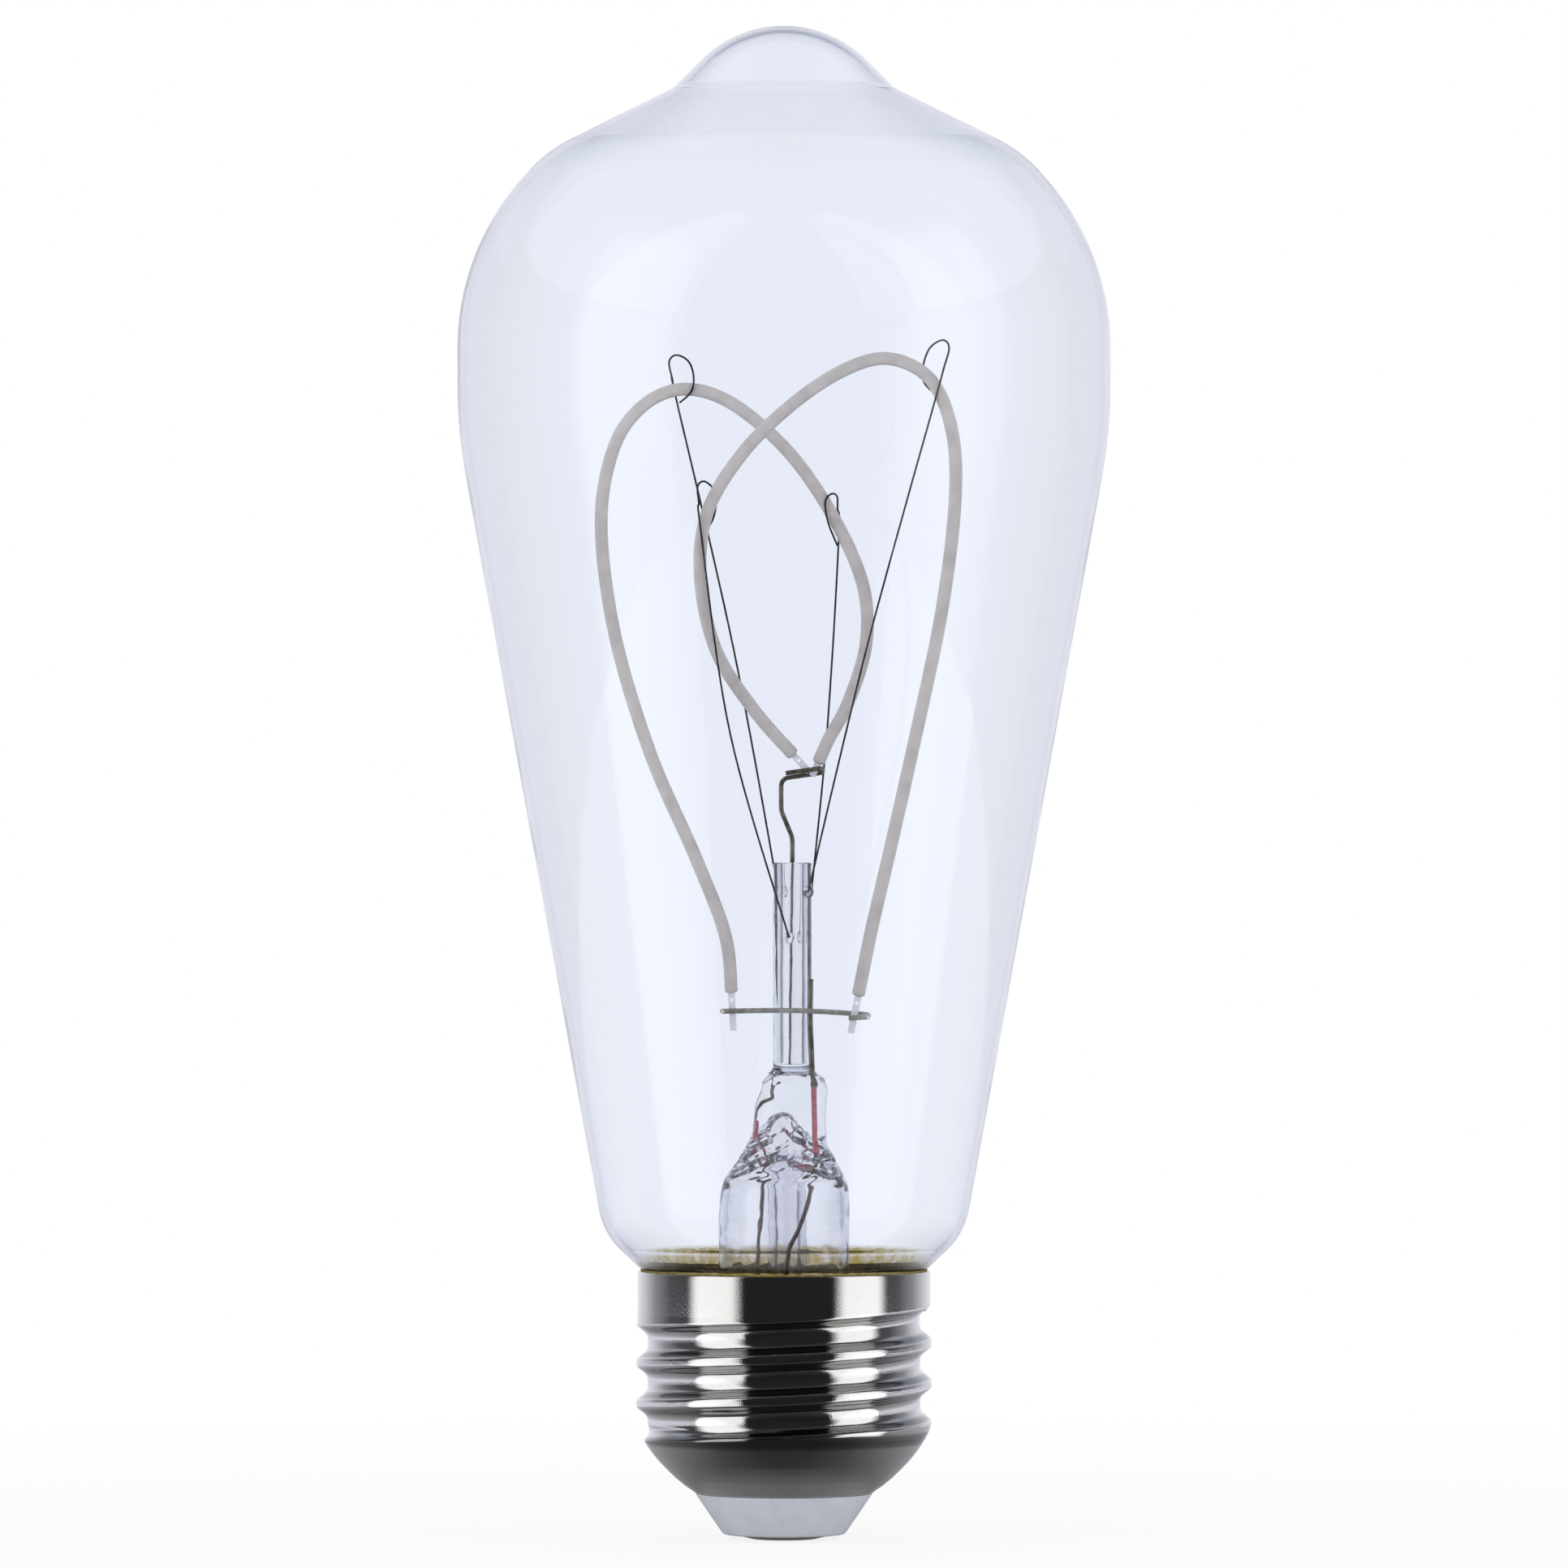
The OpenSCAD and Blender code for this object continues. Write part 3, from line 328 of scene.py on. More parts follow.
def solid_finish(name, colour, dark, roughness, metallic, grain, depth=0.01):
    """A finish for metals and other solid stuff: a noise mixes the colour with a darker one, sets
    the roughness up to 30% to either side, and gives the surface a grain of that size and depth,
    both in millimetres."""
    finish = bpy.data.materials.new(name)
    finish.use_nodes = True
    nodes, links = finish.node_tree.nodes, finish.node_tree.links
    body = nodes["Principled BSDF"]
    body.inputs["Metallic"].default_value = metallic
    place = nodes.new("ShaderNodeTexCoord")
    noise = nodes.new("ShaderNodeTexNoise")
    noise.inputs["Scale"].default_value = 1000 / grain
    noise.inputs["Detail"].default_value = 4.0
    blend = nodes.new("ShaderNodeValToRGB")
    blend.color_ramp.elements[0].color = dark
    blend.color_ramp.elements[1].color = colour
    blend.color_ramp.elements[0].position = 0.3
    blend.color_ramp.elements[1].position = 0.6
    spread = nodes.new("ShaderNodeMapRange")
    spread.inputs["To Min"].default_value = roughness * 1.3
    spread.inputs["To Max"].default_value = roughness * 0.7
    bump = nodes.new("ShaderNodeBump")
    bump.inputs["Strength"].default_value = 1.0
    bump.inputs["Distance"].default_value = depth / 1000
    links.new(place.outputs["Object"], noise.inputs["Vector"])
    links.new(noise.outputs["Fac"], blend.inputs["Fac"])
    links.new(noise.outputs["Fac"], spread.inputs["Value"])
    links.new(noise.outputs["Fac"], bump.inputs["Height"])
    links.new(blend.outputs["Color"], body.inputs["Base Color"])
    links.new(spread.outputs["Result"], body.inputs["Roughness"])
    links.new(bump.outputs["Normal"], body.inputs["Normal"])
    return finish


red_oxide = solid_finish("red copper oxide", shade(222, 122, 136), shade(184, 74, 92), 0.35, 0.0, 0.6)
piece(
    "seal_wires_fused",
    [
        skinned(wire(stepped(np.array(ends, float), length=0.5, turn=5), seal_wire_r))
        for ends in ([right_seal_foot, right_seal_head], [left_seal_foot, left_seal_head])
    ],
    red_oxide,
    ["seal_wires"],
)

# OUTER LEADS
# Copper wires, dulled by the sealing flame. They are welded to the sealing wires and run down
# through the flare to the driver in the cap.

board_top_z = side_of("driver_board", 1, 2)
outer_lead_r = 0.19
dark_copper = solid_finish("dull copper", shade(124, 106, 98), shade(66, 56, 52), 0.35, 0.9, 0.8)
outer_leads = {
    "outer_lead_left": (
        left_seal_foot,
        [[-1.8, 0.2, press_z - 9.4], [-2.4, 0.1, press_z - 17], [-2.8, -0.6, seal_z + 1],
         [-2.6, -1.6, board_top_z + 4], [-2.4, -1.8, board_top_z + 0.1]],
    ),
    "outer_lead_right": (
        right_seal_foot,
        [[2.6, -1.6, press_z - 9.4], [1.6, -2.2, press_z - 13], [0.2, -2.4, press_z - 16.8],
         [-0.3, -2.8, seal_z + 1], [0.4, -3.4, board_top_z + 4], [0.6, -3.4, board_top_z + 0.1]],
    ),
}
for node, (seal_foot, rest) in outer_leads.items():
    start = np.array(seal_foot, float)
    path = through([start - [0, 0, 0.01], start - [0, 0, 1], *rest], steps=24)
    piece(
        node + "_wire",
        [skinned(wire(path, outer_lead_r, lean=(0.2, 1, 0.1)))],
        dark_copper,
        [node],
    )

# SUPPORT COLUMN
# A glass tube that carries the anchor wires. Its foot was melted onto the press, and its top is
# cut off flat.

column_left, column_right = (side_of("support_column", side, 0) for side in (0, 1))
column_x, column_r = (column_left + column_right) / 2, (column_right - column_left) / 2
column_top_z = side_of("support_column", 1, 2)
column_bore_r, column_floor_z = 0.875, press_z + 0.8
# Radius and height along its outline, the height from the press's top and from its own.
melted_foot = np.array(
    [[0, 0.01], [2.2, 0.01], [2.15, 0.1], [1.98, 0.2], [1.84, 0.36], [1.74, 0.6], [column_r, 0.95]]
)
cut_top = np.array(
    [[column_r, -0.08], [column_r - 0.1, 0], [column_bore_r + 0.075, 0], [column_bore_r, -0.08]]
)
column = np.concatenate([
    melted_foot + [0, press_z],
    cut_top + [0, column_top_z],
    [[column_bore_r, column_floor_z], [0, column_floor_z]],
])
piece(
    "support_column_glass",
    [skinned(turned(column, sides=64, x=column_x))],
    stem_glass,
    ["support_column"],
)

# FILAMENTS
# Two soft strips, each with a row of light chips under a coat of grey-white silicone. The
# routes run from the crossbar over the anchors and back to the hairpin of the upper lead.

left_route = np.array([
    [-4.65, -2.32, -11.55], [-5.2, -2.3, -6.4], [-7.8, -1.4, 0.4], [-11.8, 0.4, 9.5],
    [-15, 1.8, 20], [-16.3, 2.6, 30], [-15.2, 2.8, 36.8], [-12.6, 2.8, 40.6], [-8.9, 2.7, 42.1],
    [-4.6, 2.4, 40.8], [0.4, 2, 36.5], [4.3, 1.9, 30.9], [7, 1.9, 24.8], [7.3, 1.8, 19.4],
    [5.7, 1.3, 14.2], [4, 0.7, 11], [3.0, 0.3, 8.8],
]) + [0, 0, column_top_z]
right_route = np.array([
    [6.55, -2.32, -11.85], [7.8, -2.3, -5.7], [9.4, -2.4, 1.2], [11.6, -2.7, 11],
    [13.9, -3.1, 22], [15.1, -3.3, 31.5], [14.9, -3.3, 38], [13, -3.2, 42.7], [9.3, -3, 44.6],
    [5.3, -2.7, 43.6], [0.6, -2.2, 40.5], [-3.8, -2.3, 36.1], [-6.8, -2.4, 31],
    [-7.4, -2.3, 25.2], [-6, -1.6, 18.8], [-2.7, -0.4, 13.6], [0.9, 0.3, 9.5],
]) + [0, 0, column_top_z]


def coated(route, width, depth, squareness, sides=24):
    """Rings of a soft flat strip along a route: w |cos t|^(2/q) to the side and d |sin t|^(2/q)
    across, both shrunk over the last quarter millimetre as the height of an ellipse shrinks."""
    line = through(route, steps=24)
    run = np.r_[0, np.cumsum(np.linalg.norm(np.diff(line, axis=0), axis=1))]
    end = 0.25
    nose = end * (1 - np.cos(np.linspace(0, np.pi / 2, 6)))
    at = np.r_[nose, np.linspace(end, run[-1] - end, 320)[1:-1], run[-1] - nose[::-1]]
    path = np.stack([np.interp(at, run, line[:, k]) for k in range(3)], 1)
    shrink = np.sqrt(1 - (1 - np.clip(np.minimum(at, run[-1] - at) / end, 0, 1)) ** 2)
    way = np.gradient(line, axis=0)
    way /= np.linalg.norm(way, axis=1)[:, None]
    way = np.stack([np.interp(at, run, way[:, k]) for k in range(3)], 1)
    side = np.cross(way, [0, 1, 0])
    side /= np.linalg.norm(side, axis=1)[:, None]
    up = np.cross(way, side)
    up /= np.linalg.norm(up, axis=1)[:, None]
    t = (np.arange(sides) + 0.5) * 2 * np.pi / sides
    u = np.sign(np.cos(t)) * np.abs(np.cos(t)) ** (2 / squareness) * width / 2
    v = np.sign(np.sin(t)) * np.abs(np.sin(t)) ** (2 / squareness) * depth / 2
    u, v, shrink = u[None, :, None], v[None, :, None], shrink[:, None, None]
    return path[:, None] + shrink * (u * side[:, None] + v * up[:, None])


coat_w, coat_t, coat_squareness = 1.15, 0.9, 3
silicone = solid_finish(
    "grey silicone coat", shade(199, 193, 187), shade(184, 178, 172), 0.6, 0.0, 1.6, 0.02
)
for node, route in (("filament_left", left_route), ("filament_right", right_route)):
    coat = coated(route, coat_w, coat_t, coat_squareness)
    piece(node + "_coat", [skinned(coat)], silicone, [node])

# ANCHOR WIRES
# Four thin wires of molybdenum, fused into beads of the column's glass. The end of each is bent
# to a hook round a filament and holds it in its curve.

anchor_r, hook_gap = 0.09, 0.12
bead_out = column_r + anchor_r + 0.12
# For each: the angle of its foot round the column, the drop of the foot from the column's top, the
# point of the route it holds, the hook's width, its reach above and below that point, its lean,
# the side of the filament where it ends, in front 1 or behind -1, and how far the wire bows.
anchors = {
    "anchor_outer_left": (131, 2.6, left_route[8], 1.9, 3.1, 0.9, -11, 1, 0.5),
    "anchor_inner_left": (-99, 6.65, right_route[12], 1.5, 2.8, 1.5, -4, -1, -1.3),
    "anchor_inner_right": (49, 6.65, left_route[11], -1.1, 1.9, 2.2, -2, 1, 0.35),
    "anchor_outer_right": (-43, 2.6, right_route[7], -1.8, 3.7, 0.8, 15, -1, -0.4),
}
molybdenum = solid_finish("dark molybdenum", shade(92, 90, 90), shade(52, 50, 52), 0.3, 0.9, 1.2)
beads = []
for node, (angle, drop, held, wide, up, down, lean, back, bow) in anchors.items():
    angle, lean = np.radians(angle), np.radians(lean)
    foot_x, foot_y = column_x + bead_out * np.cos(angle), bead_out * np.sin(angle)
    bead = np.array([foot_x, foot_y, column_top_z - drop])
    y = back * (coat_t / 2 + anchor_r + hook_gap)
    eye = np.array([
        [0, -down, y], [0, 0.3 * up, y], [0, 0.85 * up, 0.6 * y], [0.4 * wide, up, -0.3 * y],
        [0.9 * wide, 0.75 * up, -y], [wide, 0.3 * up, -y], [0.75 * wide, -0.4 * down, -y],
        [0.12 * wide, -1.25 * down, -0.9 * y],
    ])
    u, v = eye[:, 0] - 0.45 * wide, eye[:, 1]
    leaned_x = u * np.cos(lean) + v * np.sin(lean)
    leaned_z = v * np.cos(lean) - u * np.sin(lean)
    hook = held + np.stack([leaned_x, eye[:, 2], leaned_z], 1)
    path = through([bead, (bead + hook[0]) / 2 + [bow, 0, 0], *hook], steps=12)
    hooked = skinned(wire(path, anchor_r, sides=10))
    piece(node + "_wire", [hooked], molybdenum, [node])
    beads.append(bead)

# BEADS
# Drops of glass that were melted out of the column's side. The feet of the anchor wires are fused
# into them.

bead_size = 1.0


def bead_form(centre, size, rings=20, sides=32):
    """A ball, a tenth taller than it is wide, whose inner side is pushed out to the column: the
    distance from the column's axis is never less than its radius."""
    t = np.linspace(0, np.pi, rings + 1)[:, None]
    a = (np.arange(sides) * 2 * np.pi / sides)[None]
    ball = np.stack([np.sin(t) * np.cos(a), np.sin(t) * np.sin(a), np.cos(t) * 1.1 + 0 * a], 2)
    ball = ball * size / 2 + centre
    out = ball[..., :2] - [column_x, 0]
    far = np.linalg.norm(out, axis=2, keepdims=True)
    ball[..., :2] = [column_x, 0] + out / far * np.maximum(far, column_r + 0.01)
    return ball


piece(
    "anchor_beads_glass",
    [skinned(bead_form(bead, bead_size)) for bead in beads],
    stem_glass,
    ["anchor_beads"],
)

# INNER LEADS
# Two nickel-plated wires. The upper one, thinner inside the press, kinks there, rises behind the
# column and ends in a hairpin. The lower one is short and carries the crossbar.

upper_lead_r, thin_r, lower_lead_r = 0.21, 0.1, 0.25
upper_y = column_r + upper_lead_r + 0.05
hairpin_z = column_top_z + 7.6
kink = rounded(
    [left_seal_head, [-1.75, -0.3, press_z - 3.3], [-1.4, -0.4, press_z - 2.7],
     [-0.7, -0.4, press_z - 2.25], [-0.6, -0.3, press_z - 1.1], [0, 0.8, press_z - 0.5],
     [0.3, upper_y, press_z - 0.1], [0.3, upper_y, press_z + 1]],
    [0, 0.4, 0.3, 0.3, 0.4, 0.4, 0.3, 0],
)
rise = rounded(
    [[0.3, upper_y, press_z + 1], [0.45, upper_y, press_z + 6.2], [column_x, upper_y, column_top_z],
     [column_x, upper_y - 0.5, column_top_z + 2.2], [-0.25, 0.8, column_top_z + 4.6],
     [-0.25, 0.6, hairpin_z - 0.15], [3.45, 0.6, hairpin_z + 0.4], [3.45, 0, hairpin_z + 0.8],
     [0.15, 0, hairpin_z + 0.35]],
    [0, 0, 8, 2, 1.6, 0.75, 0.28, 0.28, 0],
)
nickel_wire = solid_finish("dull nickel wire", shade(146, 140, 126), shade(88, 82, 72), 0.3, 0.7, 1.0)
upper_path = stepped(np.concatenate([kink[:-1], rise]), length=0.4, turn=8)
upper_r = np.interp(upper_path[:, 2], [press_z - 0.8, press_z + 0.2], [thin_r, upper_lead_r])
piece(
    "upper_lead_wire",
    [skinned(wire(upper_path, upper_r, lean=(0.58, 0.58, 0.58)))],
    nickel_wire,
    ["upper_lead"],
)
lower_x, lower_y = right_seal_head[:2]
lower = rounded(
    [[lower_x, lower_y, press_z - 1.09], [lower_x, lower_y, press_z],
     [lower_x - 0.2, lower_y, press_z + 5], [lower_x - 0.15, lower_y, press_z + 8.45]],
    [0, 12, 20, 0],
)
lower = stepped(lower, length=0.6, turn=8)
piece(
    "lower_lead_wire",
    [skinned(wire(lower, lower_lead_r, sides=20, lean=(0, 1, 0)))],
    nickel_wire,
    ["lower_lead"],
)

# CROSSBAR
# A bright nickel-plated wire, welded across the front of the lower lead. Its two ends are folded
# back over the lower tabs.

bar_r, bar_z = 0.235, press_z + 5.6
bar_y = lower_y - lower_lead_r - bar_r - 0.01
fold_y = bar_y - 0.65
bar_left, bar_right = -5.465, 7.465
bar = rounded(
    [[bar_left + 1.25, fold_y, bar_z + 0.05], [bar_left, fold_y, bar_z], [bar_left, bar_y, bar_z],
     [column_x + 0.5, bar_y, bar_z + 0.12], [bar_right, bar_y, bar_z - 0.3],
     [bar_right, fold_y, bar_z - 0.5], [bar_right - 1.75, fold_y, bar_z - 0.6]],
    [0, 0.28, 0.28, 60, 0.28, 0.28, 0],
)
bar = stepped(bar, length=0.5, turn=8)
bright_nickel = solid_finish(
    "bright nickel wire", shade(232, 228, 220), shade(168, 162, 150), 0.25, 0.65, 1.0
)
piece(
    "crossbar_wire",
    [skinned(wire(bar, bar_r, sides=20, lean=(0, 0, 1)))],
    bright_nickel,
    ["crossbar"],
)

# END TABS, STRIPS AND CHIPS
# The tabs are thin plated steel, welded to the crossbar and the hairpin. The copper-faced strips
# and their rows of blue chips lie inside the coats.

plated_steel = solid_finish("plated steel", shade(252, 252, 254), shade(232, 232, 238), 0.25, 0.2, 0.8)
strip_metal = solid_finish("copper-faced strip", shade(206, 160, 96), shade(176, 128, 70), 0.4, 0.8, 1.0)
chip_face = solid_finish("blue chip", shade(86, 116, 190), shade(60, 84, 150), 0.2, 0.1, 0.4)


def refinish(finish, *names):
    """Gives CAD nodes that stay as they are their finish."""
    for name in names:
        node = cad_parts[name]
        for held in node.material_slots:
            held.link = "OBJECT"
            held.material = finish


refinish(plated_steel, "end_tabs_left", "end_tabs_right")
refinish(strip_metal, "filament_strip_left", "filament_strip_right")
refinish(chip_face, "led_chips_left", "led_chips_right")

# GLASS BULB
# One bubble of clear soda glass, blown in a mould: crown, shoulder, long taper and neck. The neck
# is fused to the foot of the stem.

bulb_r, crown_z = side_of("glass_bulb", 1, 0), side_of("glass_bulb", 1, 2)
bulb_wall, neck_r = 0.6, 12.3
bulb = rounded(
    [[0, crown_z], [4.3, crown_z], [9.8, crown_z - 5.5], [21.2, crown_z - 11.2],
     [bulb_r, crown_z - 20.1], [bulb_r, crown_z - 35.9], [16.05, seal_z + 9.5],
     [neck_r, seal_z + 5.95], [neck_r, seal_z + 2.9], [seal_r, seal_z + 0.7], [seal_r, seal_z]],
    [0, 10.2, 2.5, 12.4, 22.6, 47, 6.6, 1.2, 1.2, 0.8, 0],
    step=0.5,
)
bulb = stepped(bulb, length=2.0, turn=2.5)


def moved_in(outline, wall):
    """The outline moved by the wall along the mean square to the stretches beside each point."""
    way = np.diff(outline, axis=0)
    way /= np.linalg.norm(way, axis=1)[:, None]
    before, after = np.concatenate([way[:1], way]), np.concatenate([way, way[-1:]])
    mean = before + after
    mean /= np.linalg.norm(mean, axis=1)[:, None]
    stretch = wall / np.maximum((mean * after).sum(1), 0.5)
    inner = outline + np.stack([mean[:, 1], -mean[:, 0]], 1) * stretch[:, None]
    inner[:, 0] = np.maximum(inner[:, 0], 0)
    return inner


bulb_glass = clear_glass(
    "bulb glass",
    face_on=shade(246, 248.6, 254.5),
    edge_on=shade(249.5, 251.5, 255),
    tint_span=(0.05, 0.5),
    ior=1.45,
    wave=0.02,
    wave_size=9.0,
    gloss=(0.5, 0.5, 0.42, 1),
)
# The cement has left an olive stain on the neck, full and speckled below and gone at stain_z.
stain_z, stain_rise = 24.78, 0.45
nodes, links = bulb_glass.node_tree.nodes, bulb_glass.node_tree.links
body, tint = nodes["Principled BSDF"], nodes["Color Ramp"]
place, part, rise, specks, dense, ragged, stain = (
    nodes.new("ShaderNode" + k)
    for k in ("TexCoord", "SeparateXYZ", "MapRange", "TexNoise", "MapRange", "Math", "Mix")
)
specks.inputs["Scale"].default_value = 1400.0
specks.inputs["Detail"].default_value = 3.0
dense.inputs["From Min"].default_value = 0.35
dense.inputs["From Max"].default_value = 0.6
dense.inputs["To Min"].default_value = 0.6
links.new(place.outputs["Object"], part.inputs["Vector"])
links.new(place.outputs["Object"], specks.inputs["Vector"])
rise.inputs["From Min"].default_value = stain_z / 1000
rise.inputs["From Max"].default_value = (stain_z - stain_rise) / 1000
ragged.operation = "MULTIPLY"
stain.data_type = "RGBA"
links.new(part.outputs["Z"], rise.inputs["Value"])
links.new(specks.outputs["Fac"], dense.inputs["Value"])
links.new(dense.outputs["Result"], ragged.inputs[0])
links.new(rise.outputs["Result"], ragged.inputs[1])
links.new(ragged.outputs["Value"], stain.inputs["Factor"])
links.new(tint.outputs["Color"], stain.inputs[6])
stain.inputs[7].default_value = shade(146, 126, 44)
links.new(stain.outputs[2], body.inputs["Base Color"])
bulb_inside = moved_in(bulb, bulb_wall)
bulb_inside[0] = [0, bulb_inside[0, 1]]
piece(
    "glass_bulb_blown",
    [skinned(turned(np.concatenate([bulb[::-1], bulb_inside]), sides=192))],
    bulb_glass,
    ["glass_bulb"],
    sharp=60,
)

# CEMENT
# Baked cement that fills the space between the neck and the skirt, up to the shell's rim. It
# shows olive through the glass.

cement = solid_finish("baked cement", shade(158, 142, 76), shade(118, 102, 50), 0.8, 0.0, 0.5, 0.15)
cement_r, cement_foot_z, cement_top_z = 12.68, 20.3, 23.95
neck = bulb[(bulb[:, 1] > cement_foot_z + 0.1) & (bulb[:, 1] < cement_top_z)] + [0.03, 0]
squeezed_out = [
    [cement_r, cement_foot_z], [cement_r, cement_top_z - 0.29], [cement_r + 0.03, cement_top_z - 0.2]
]
fill = np.concatenate([neck, [[neck[-1, 0], cement_foot_z]], squeezed_out])
piece(
    "cement_fill",
    [skinned(turned(fill, sides=128), loop=True)],
    cement,
    ["cement_ring"],
)

# SCREW SHELL
# Thin brass sheet, nickel plated: a smooth skirt with its rim rolled in, a rolled right-hand
# thread, and a cone below it that grips the insulator.

shell_z, rim_z = side_of("screw_shell", 0, 2), side_of("screw_shell", 1, 2)
pitch, crest_r, root_r, skirt_r, shell_wall = 3.63, 13.1, 12.1, 13.0, 0.3
skirt_z, skirt_rise = rim_z - 3.8, 1.5
groove_mid_z, groove_share, flank_power = shell_z + 11.515, 0.86, 1.9
thread_top_z, top_fade, thread_low_z, low_fade = rim_z - 3.6, 0.9, shell_z + 4.2, 1.6
rim_in, rim_up = 0.15, 0.12
# The cone's outline, as the heights above the shell's foot and the radius at each.
cone_rise = [0, 0.23, 0.59, 1.31, 2.03, 2.75, 3.47, 4.19, 4.9, 5.5, 6.1]
cone_r = [7.9, 8.2, 8.75, 9.63, 10.38, 11.07, 11.68, 12.18, 12.62, 12.92, crest_r]


def shell_rings(z, sides=288):
    """Radius at height z and angle a: the groove's middle climbs one pitch a turn, its flanks
    follow 3 u^2 - 2 u^3 up to the crest, u growing as a power of the distance from the middle,
    and it fades out at both its ends."""
    a = np.arange(sides) * 2 * np.pi / sides
    turn = a / (2 * np.pi)
    z = z[:, None] + 0 * a
    k = np.round((z - groove_mid_z) / pitch - turn)
    groove_z = groove_mid_z + pitch * (k + turn)
    top = np.clip((thread_top_z - groove_z) / top_fade, 0, 1)
    low = np.clip((groove_z - thread_low_z) / low_fade, 0, 1)
    fade = top * top * (3 - 2 * top) * low * low * (3 - 2 * low)
    flank = np.clip(np.abs(z - groove_z) * 2 / pitch / groove_share, 0, 1) ** flank_power
    dip = 1 - flank * flank * (3 - 2 * flank)
    body = skirt_r + (crest_r - skirt_r) * np.clip((skirt_z - z) / skirt_rise, 0, 1)
    cone = np.interp(z - shell_z, cone_rise, cone_r)
    r = np.minimum(body, cone) - (crest_r - root_r) * fade * dip
    return np.stack([r * np.cos(a), r * np.sin(a), z], 2)


heights = np.concatenate([np.linspace(shell_z, 21, 170), np.linspace(21.5, rim_z - rim_up, 6)])
shell_outside = shell_rings(heights)
t = np.linspace(0, np.pi, 9)[1:-1, None]
rolled_rim = np.repeat(shell_outside[-1:], len(t), 0)
rolled_rim[..., :2] *= (1 - rim_in / skirt_r * (1 - np.cos(t)))[..., None]
rolled_rim[..., 2] = rim_z - rim_up + rim_up * np.sin(t)
shell_inside = shell_outside[::-1].copy()
across = np.linalg.norm(shell_inside[..., :2], axis=2, keepdims=True)
shell_inside[..., :2] *= 1 - shell_wall / across
plated_shell = solid_finish(
    "nickel-plated shell", shade(229, 228, 226), shade(224, 222, 220), 0.055, 1.0, 0.13, 0.004
)
# Painted shade darkens the thread's flanks. It goes by the distance from the axis, from root to crest.
nodes, links = plated_shell.node_tree.nodes, plated_shell.node_tree.links
body, blend = nodes["Principled BSDF"], nodes["Color Ramp"]
place, flat, out_from_axis, span, flank_shade, shaded_base = (
    nodes.new("ShaderNode" + k)
    for k in ("TexCoord", "VectorMath", "VectorMath", "MapRange", "ValToRGB", "Mix")
)
flat.operation, out_from_axis.operation = "MULTIPLY", "LENGTH"
flat.inputs[1].default_value = (1, 1, 0)
span.inputs["From Min"].default_value = root_r / 1000
span.inputs["From Max"].default_value = crest_r / 1000
stops = flank_shade.color_ramp.elements
stops[0].position, stops[1].position = 0.12, 0.88
for at, level in ((0.3, 0.5), (0.5, 0.38), (0.75, 0.5)):
    stops.new(at).color = (level, level, level, 1)
stops[0].color = stops[len(stops) - 1].color = (1, 1, 1, 1)
shaded_base.data_type, shaded_base.blend_type = "RGBA", "MULTIPLY"
shaded_base.inputs["Factor"].default_value = 1.0
links.new(place.outputs["Object"], flat.inputs[0])
links.new(flat.outputs["Vector"], out_from_axis.inputs[0])
links.new(out_from_axis.outputs["Value"], span.inputs["Value"])
links.new(span.outputs["Result"], flank_shade.inputs["Fac"])
links.new(blend.outputs["Color"], shaded_base.inputs[6])
links.new(flank_shade.outputs["Color"], shaded_base.inputs[7])
links.new(shaded_base.outputs[2], body.inputs["Base Color"])
piece(
    "screw_shell_rolled",
    [skinned(np.concatenate([shell_outside, rolled_rim, shell_inside]), loop=True)],
    plated_shell,
    ["screw_shell"],
)

# INSULATOR
# A ring of pale blue-grey plastic, moulded into the end of the shell. It keeps the contact apart
# from the shell.

under_z, over_z = side_of("insulator", 0, 2), side_of("insulator", 1, 2)
rivet_r, hole_r = 1.25, 1.3
pale_insulator = solid_finish(
    "pale insulator", shade(208, 212, 219), shade(200, 205, 213), 0.35, 0.0, 1.5
)
insulator = rounded(
    [[hole_r, under_z], [5.4, under_z], [cone_r[0], shell_z - 0.05], [7.5, shell_z - 0.05],
     [7.5, shell_z + 0.1], [8.3, over_z], [hole_r, over_z], [hole_r, under_z]],
    [0, 0.5, 0.06, 0, 0, 0, 0, 0],
)
piece(
    "insulator_moulded",
    [skinned(turned(insulator[:-1], sides=128), loop=True)],
    pale_insulator,
    ["insulator"],
    sharp=30,
)

# CENTRE CONTACT
# A stamped, tin-plated disc under the insulator. Its hollow rivet goes up through the insulator
# and is peened over above it.

rivet_top_z, bore_z = side_of("centre_contact", 1, 2), 2.4
tinned = solid_finish(
    "tinned contact", shade(190, 186, 178), shade(150, 144, 136), 0.35, 0.9, 0.9, 0.02
)
contact = rounded(
    [[0, 0.02], [1.0, 0.0], [2.85, 0], [4.5, under_z], [rivet_r, under_z], [rivet_r, over_z + 0.05],
     [rivet_r + 0.8, over_z + 0.05], [rivet_r, rivet_top_z], [0.5, rivet_top_z], [0.5, bore_z],
     [0, bore_z]],
    [0, 0.5, 0.6, 0.05, 0, 0, 0.2, 0, 0, 0, 0],
)
piece(
    "centre_contact_stamped",
    [skinned(turned(contact, sides=96))],
    tinned,
    ["centre_contact"],
    sharp=35,
)

# DRIVER
# A green glass-fibre board in the cap, with a rectifier, a capacitor, a chip and resistors
# soldered to it. A red wire joins it to the contact's rivet, and a blue one to the shell.

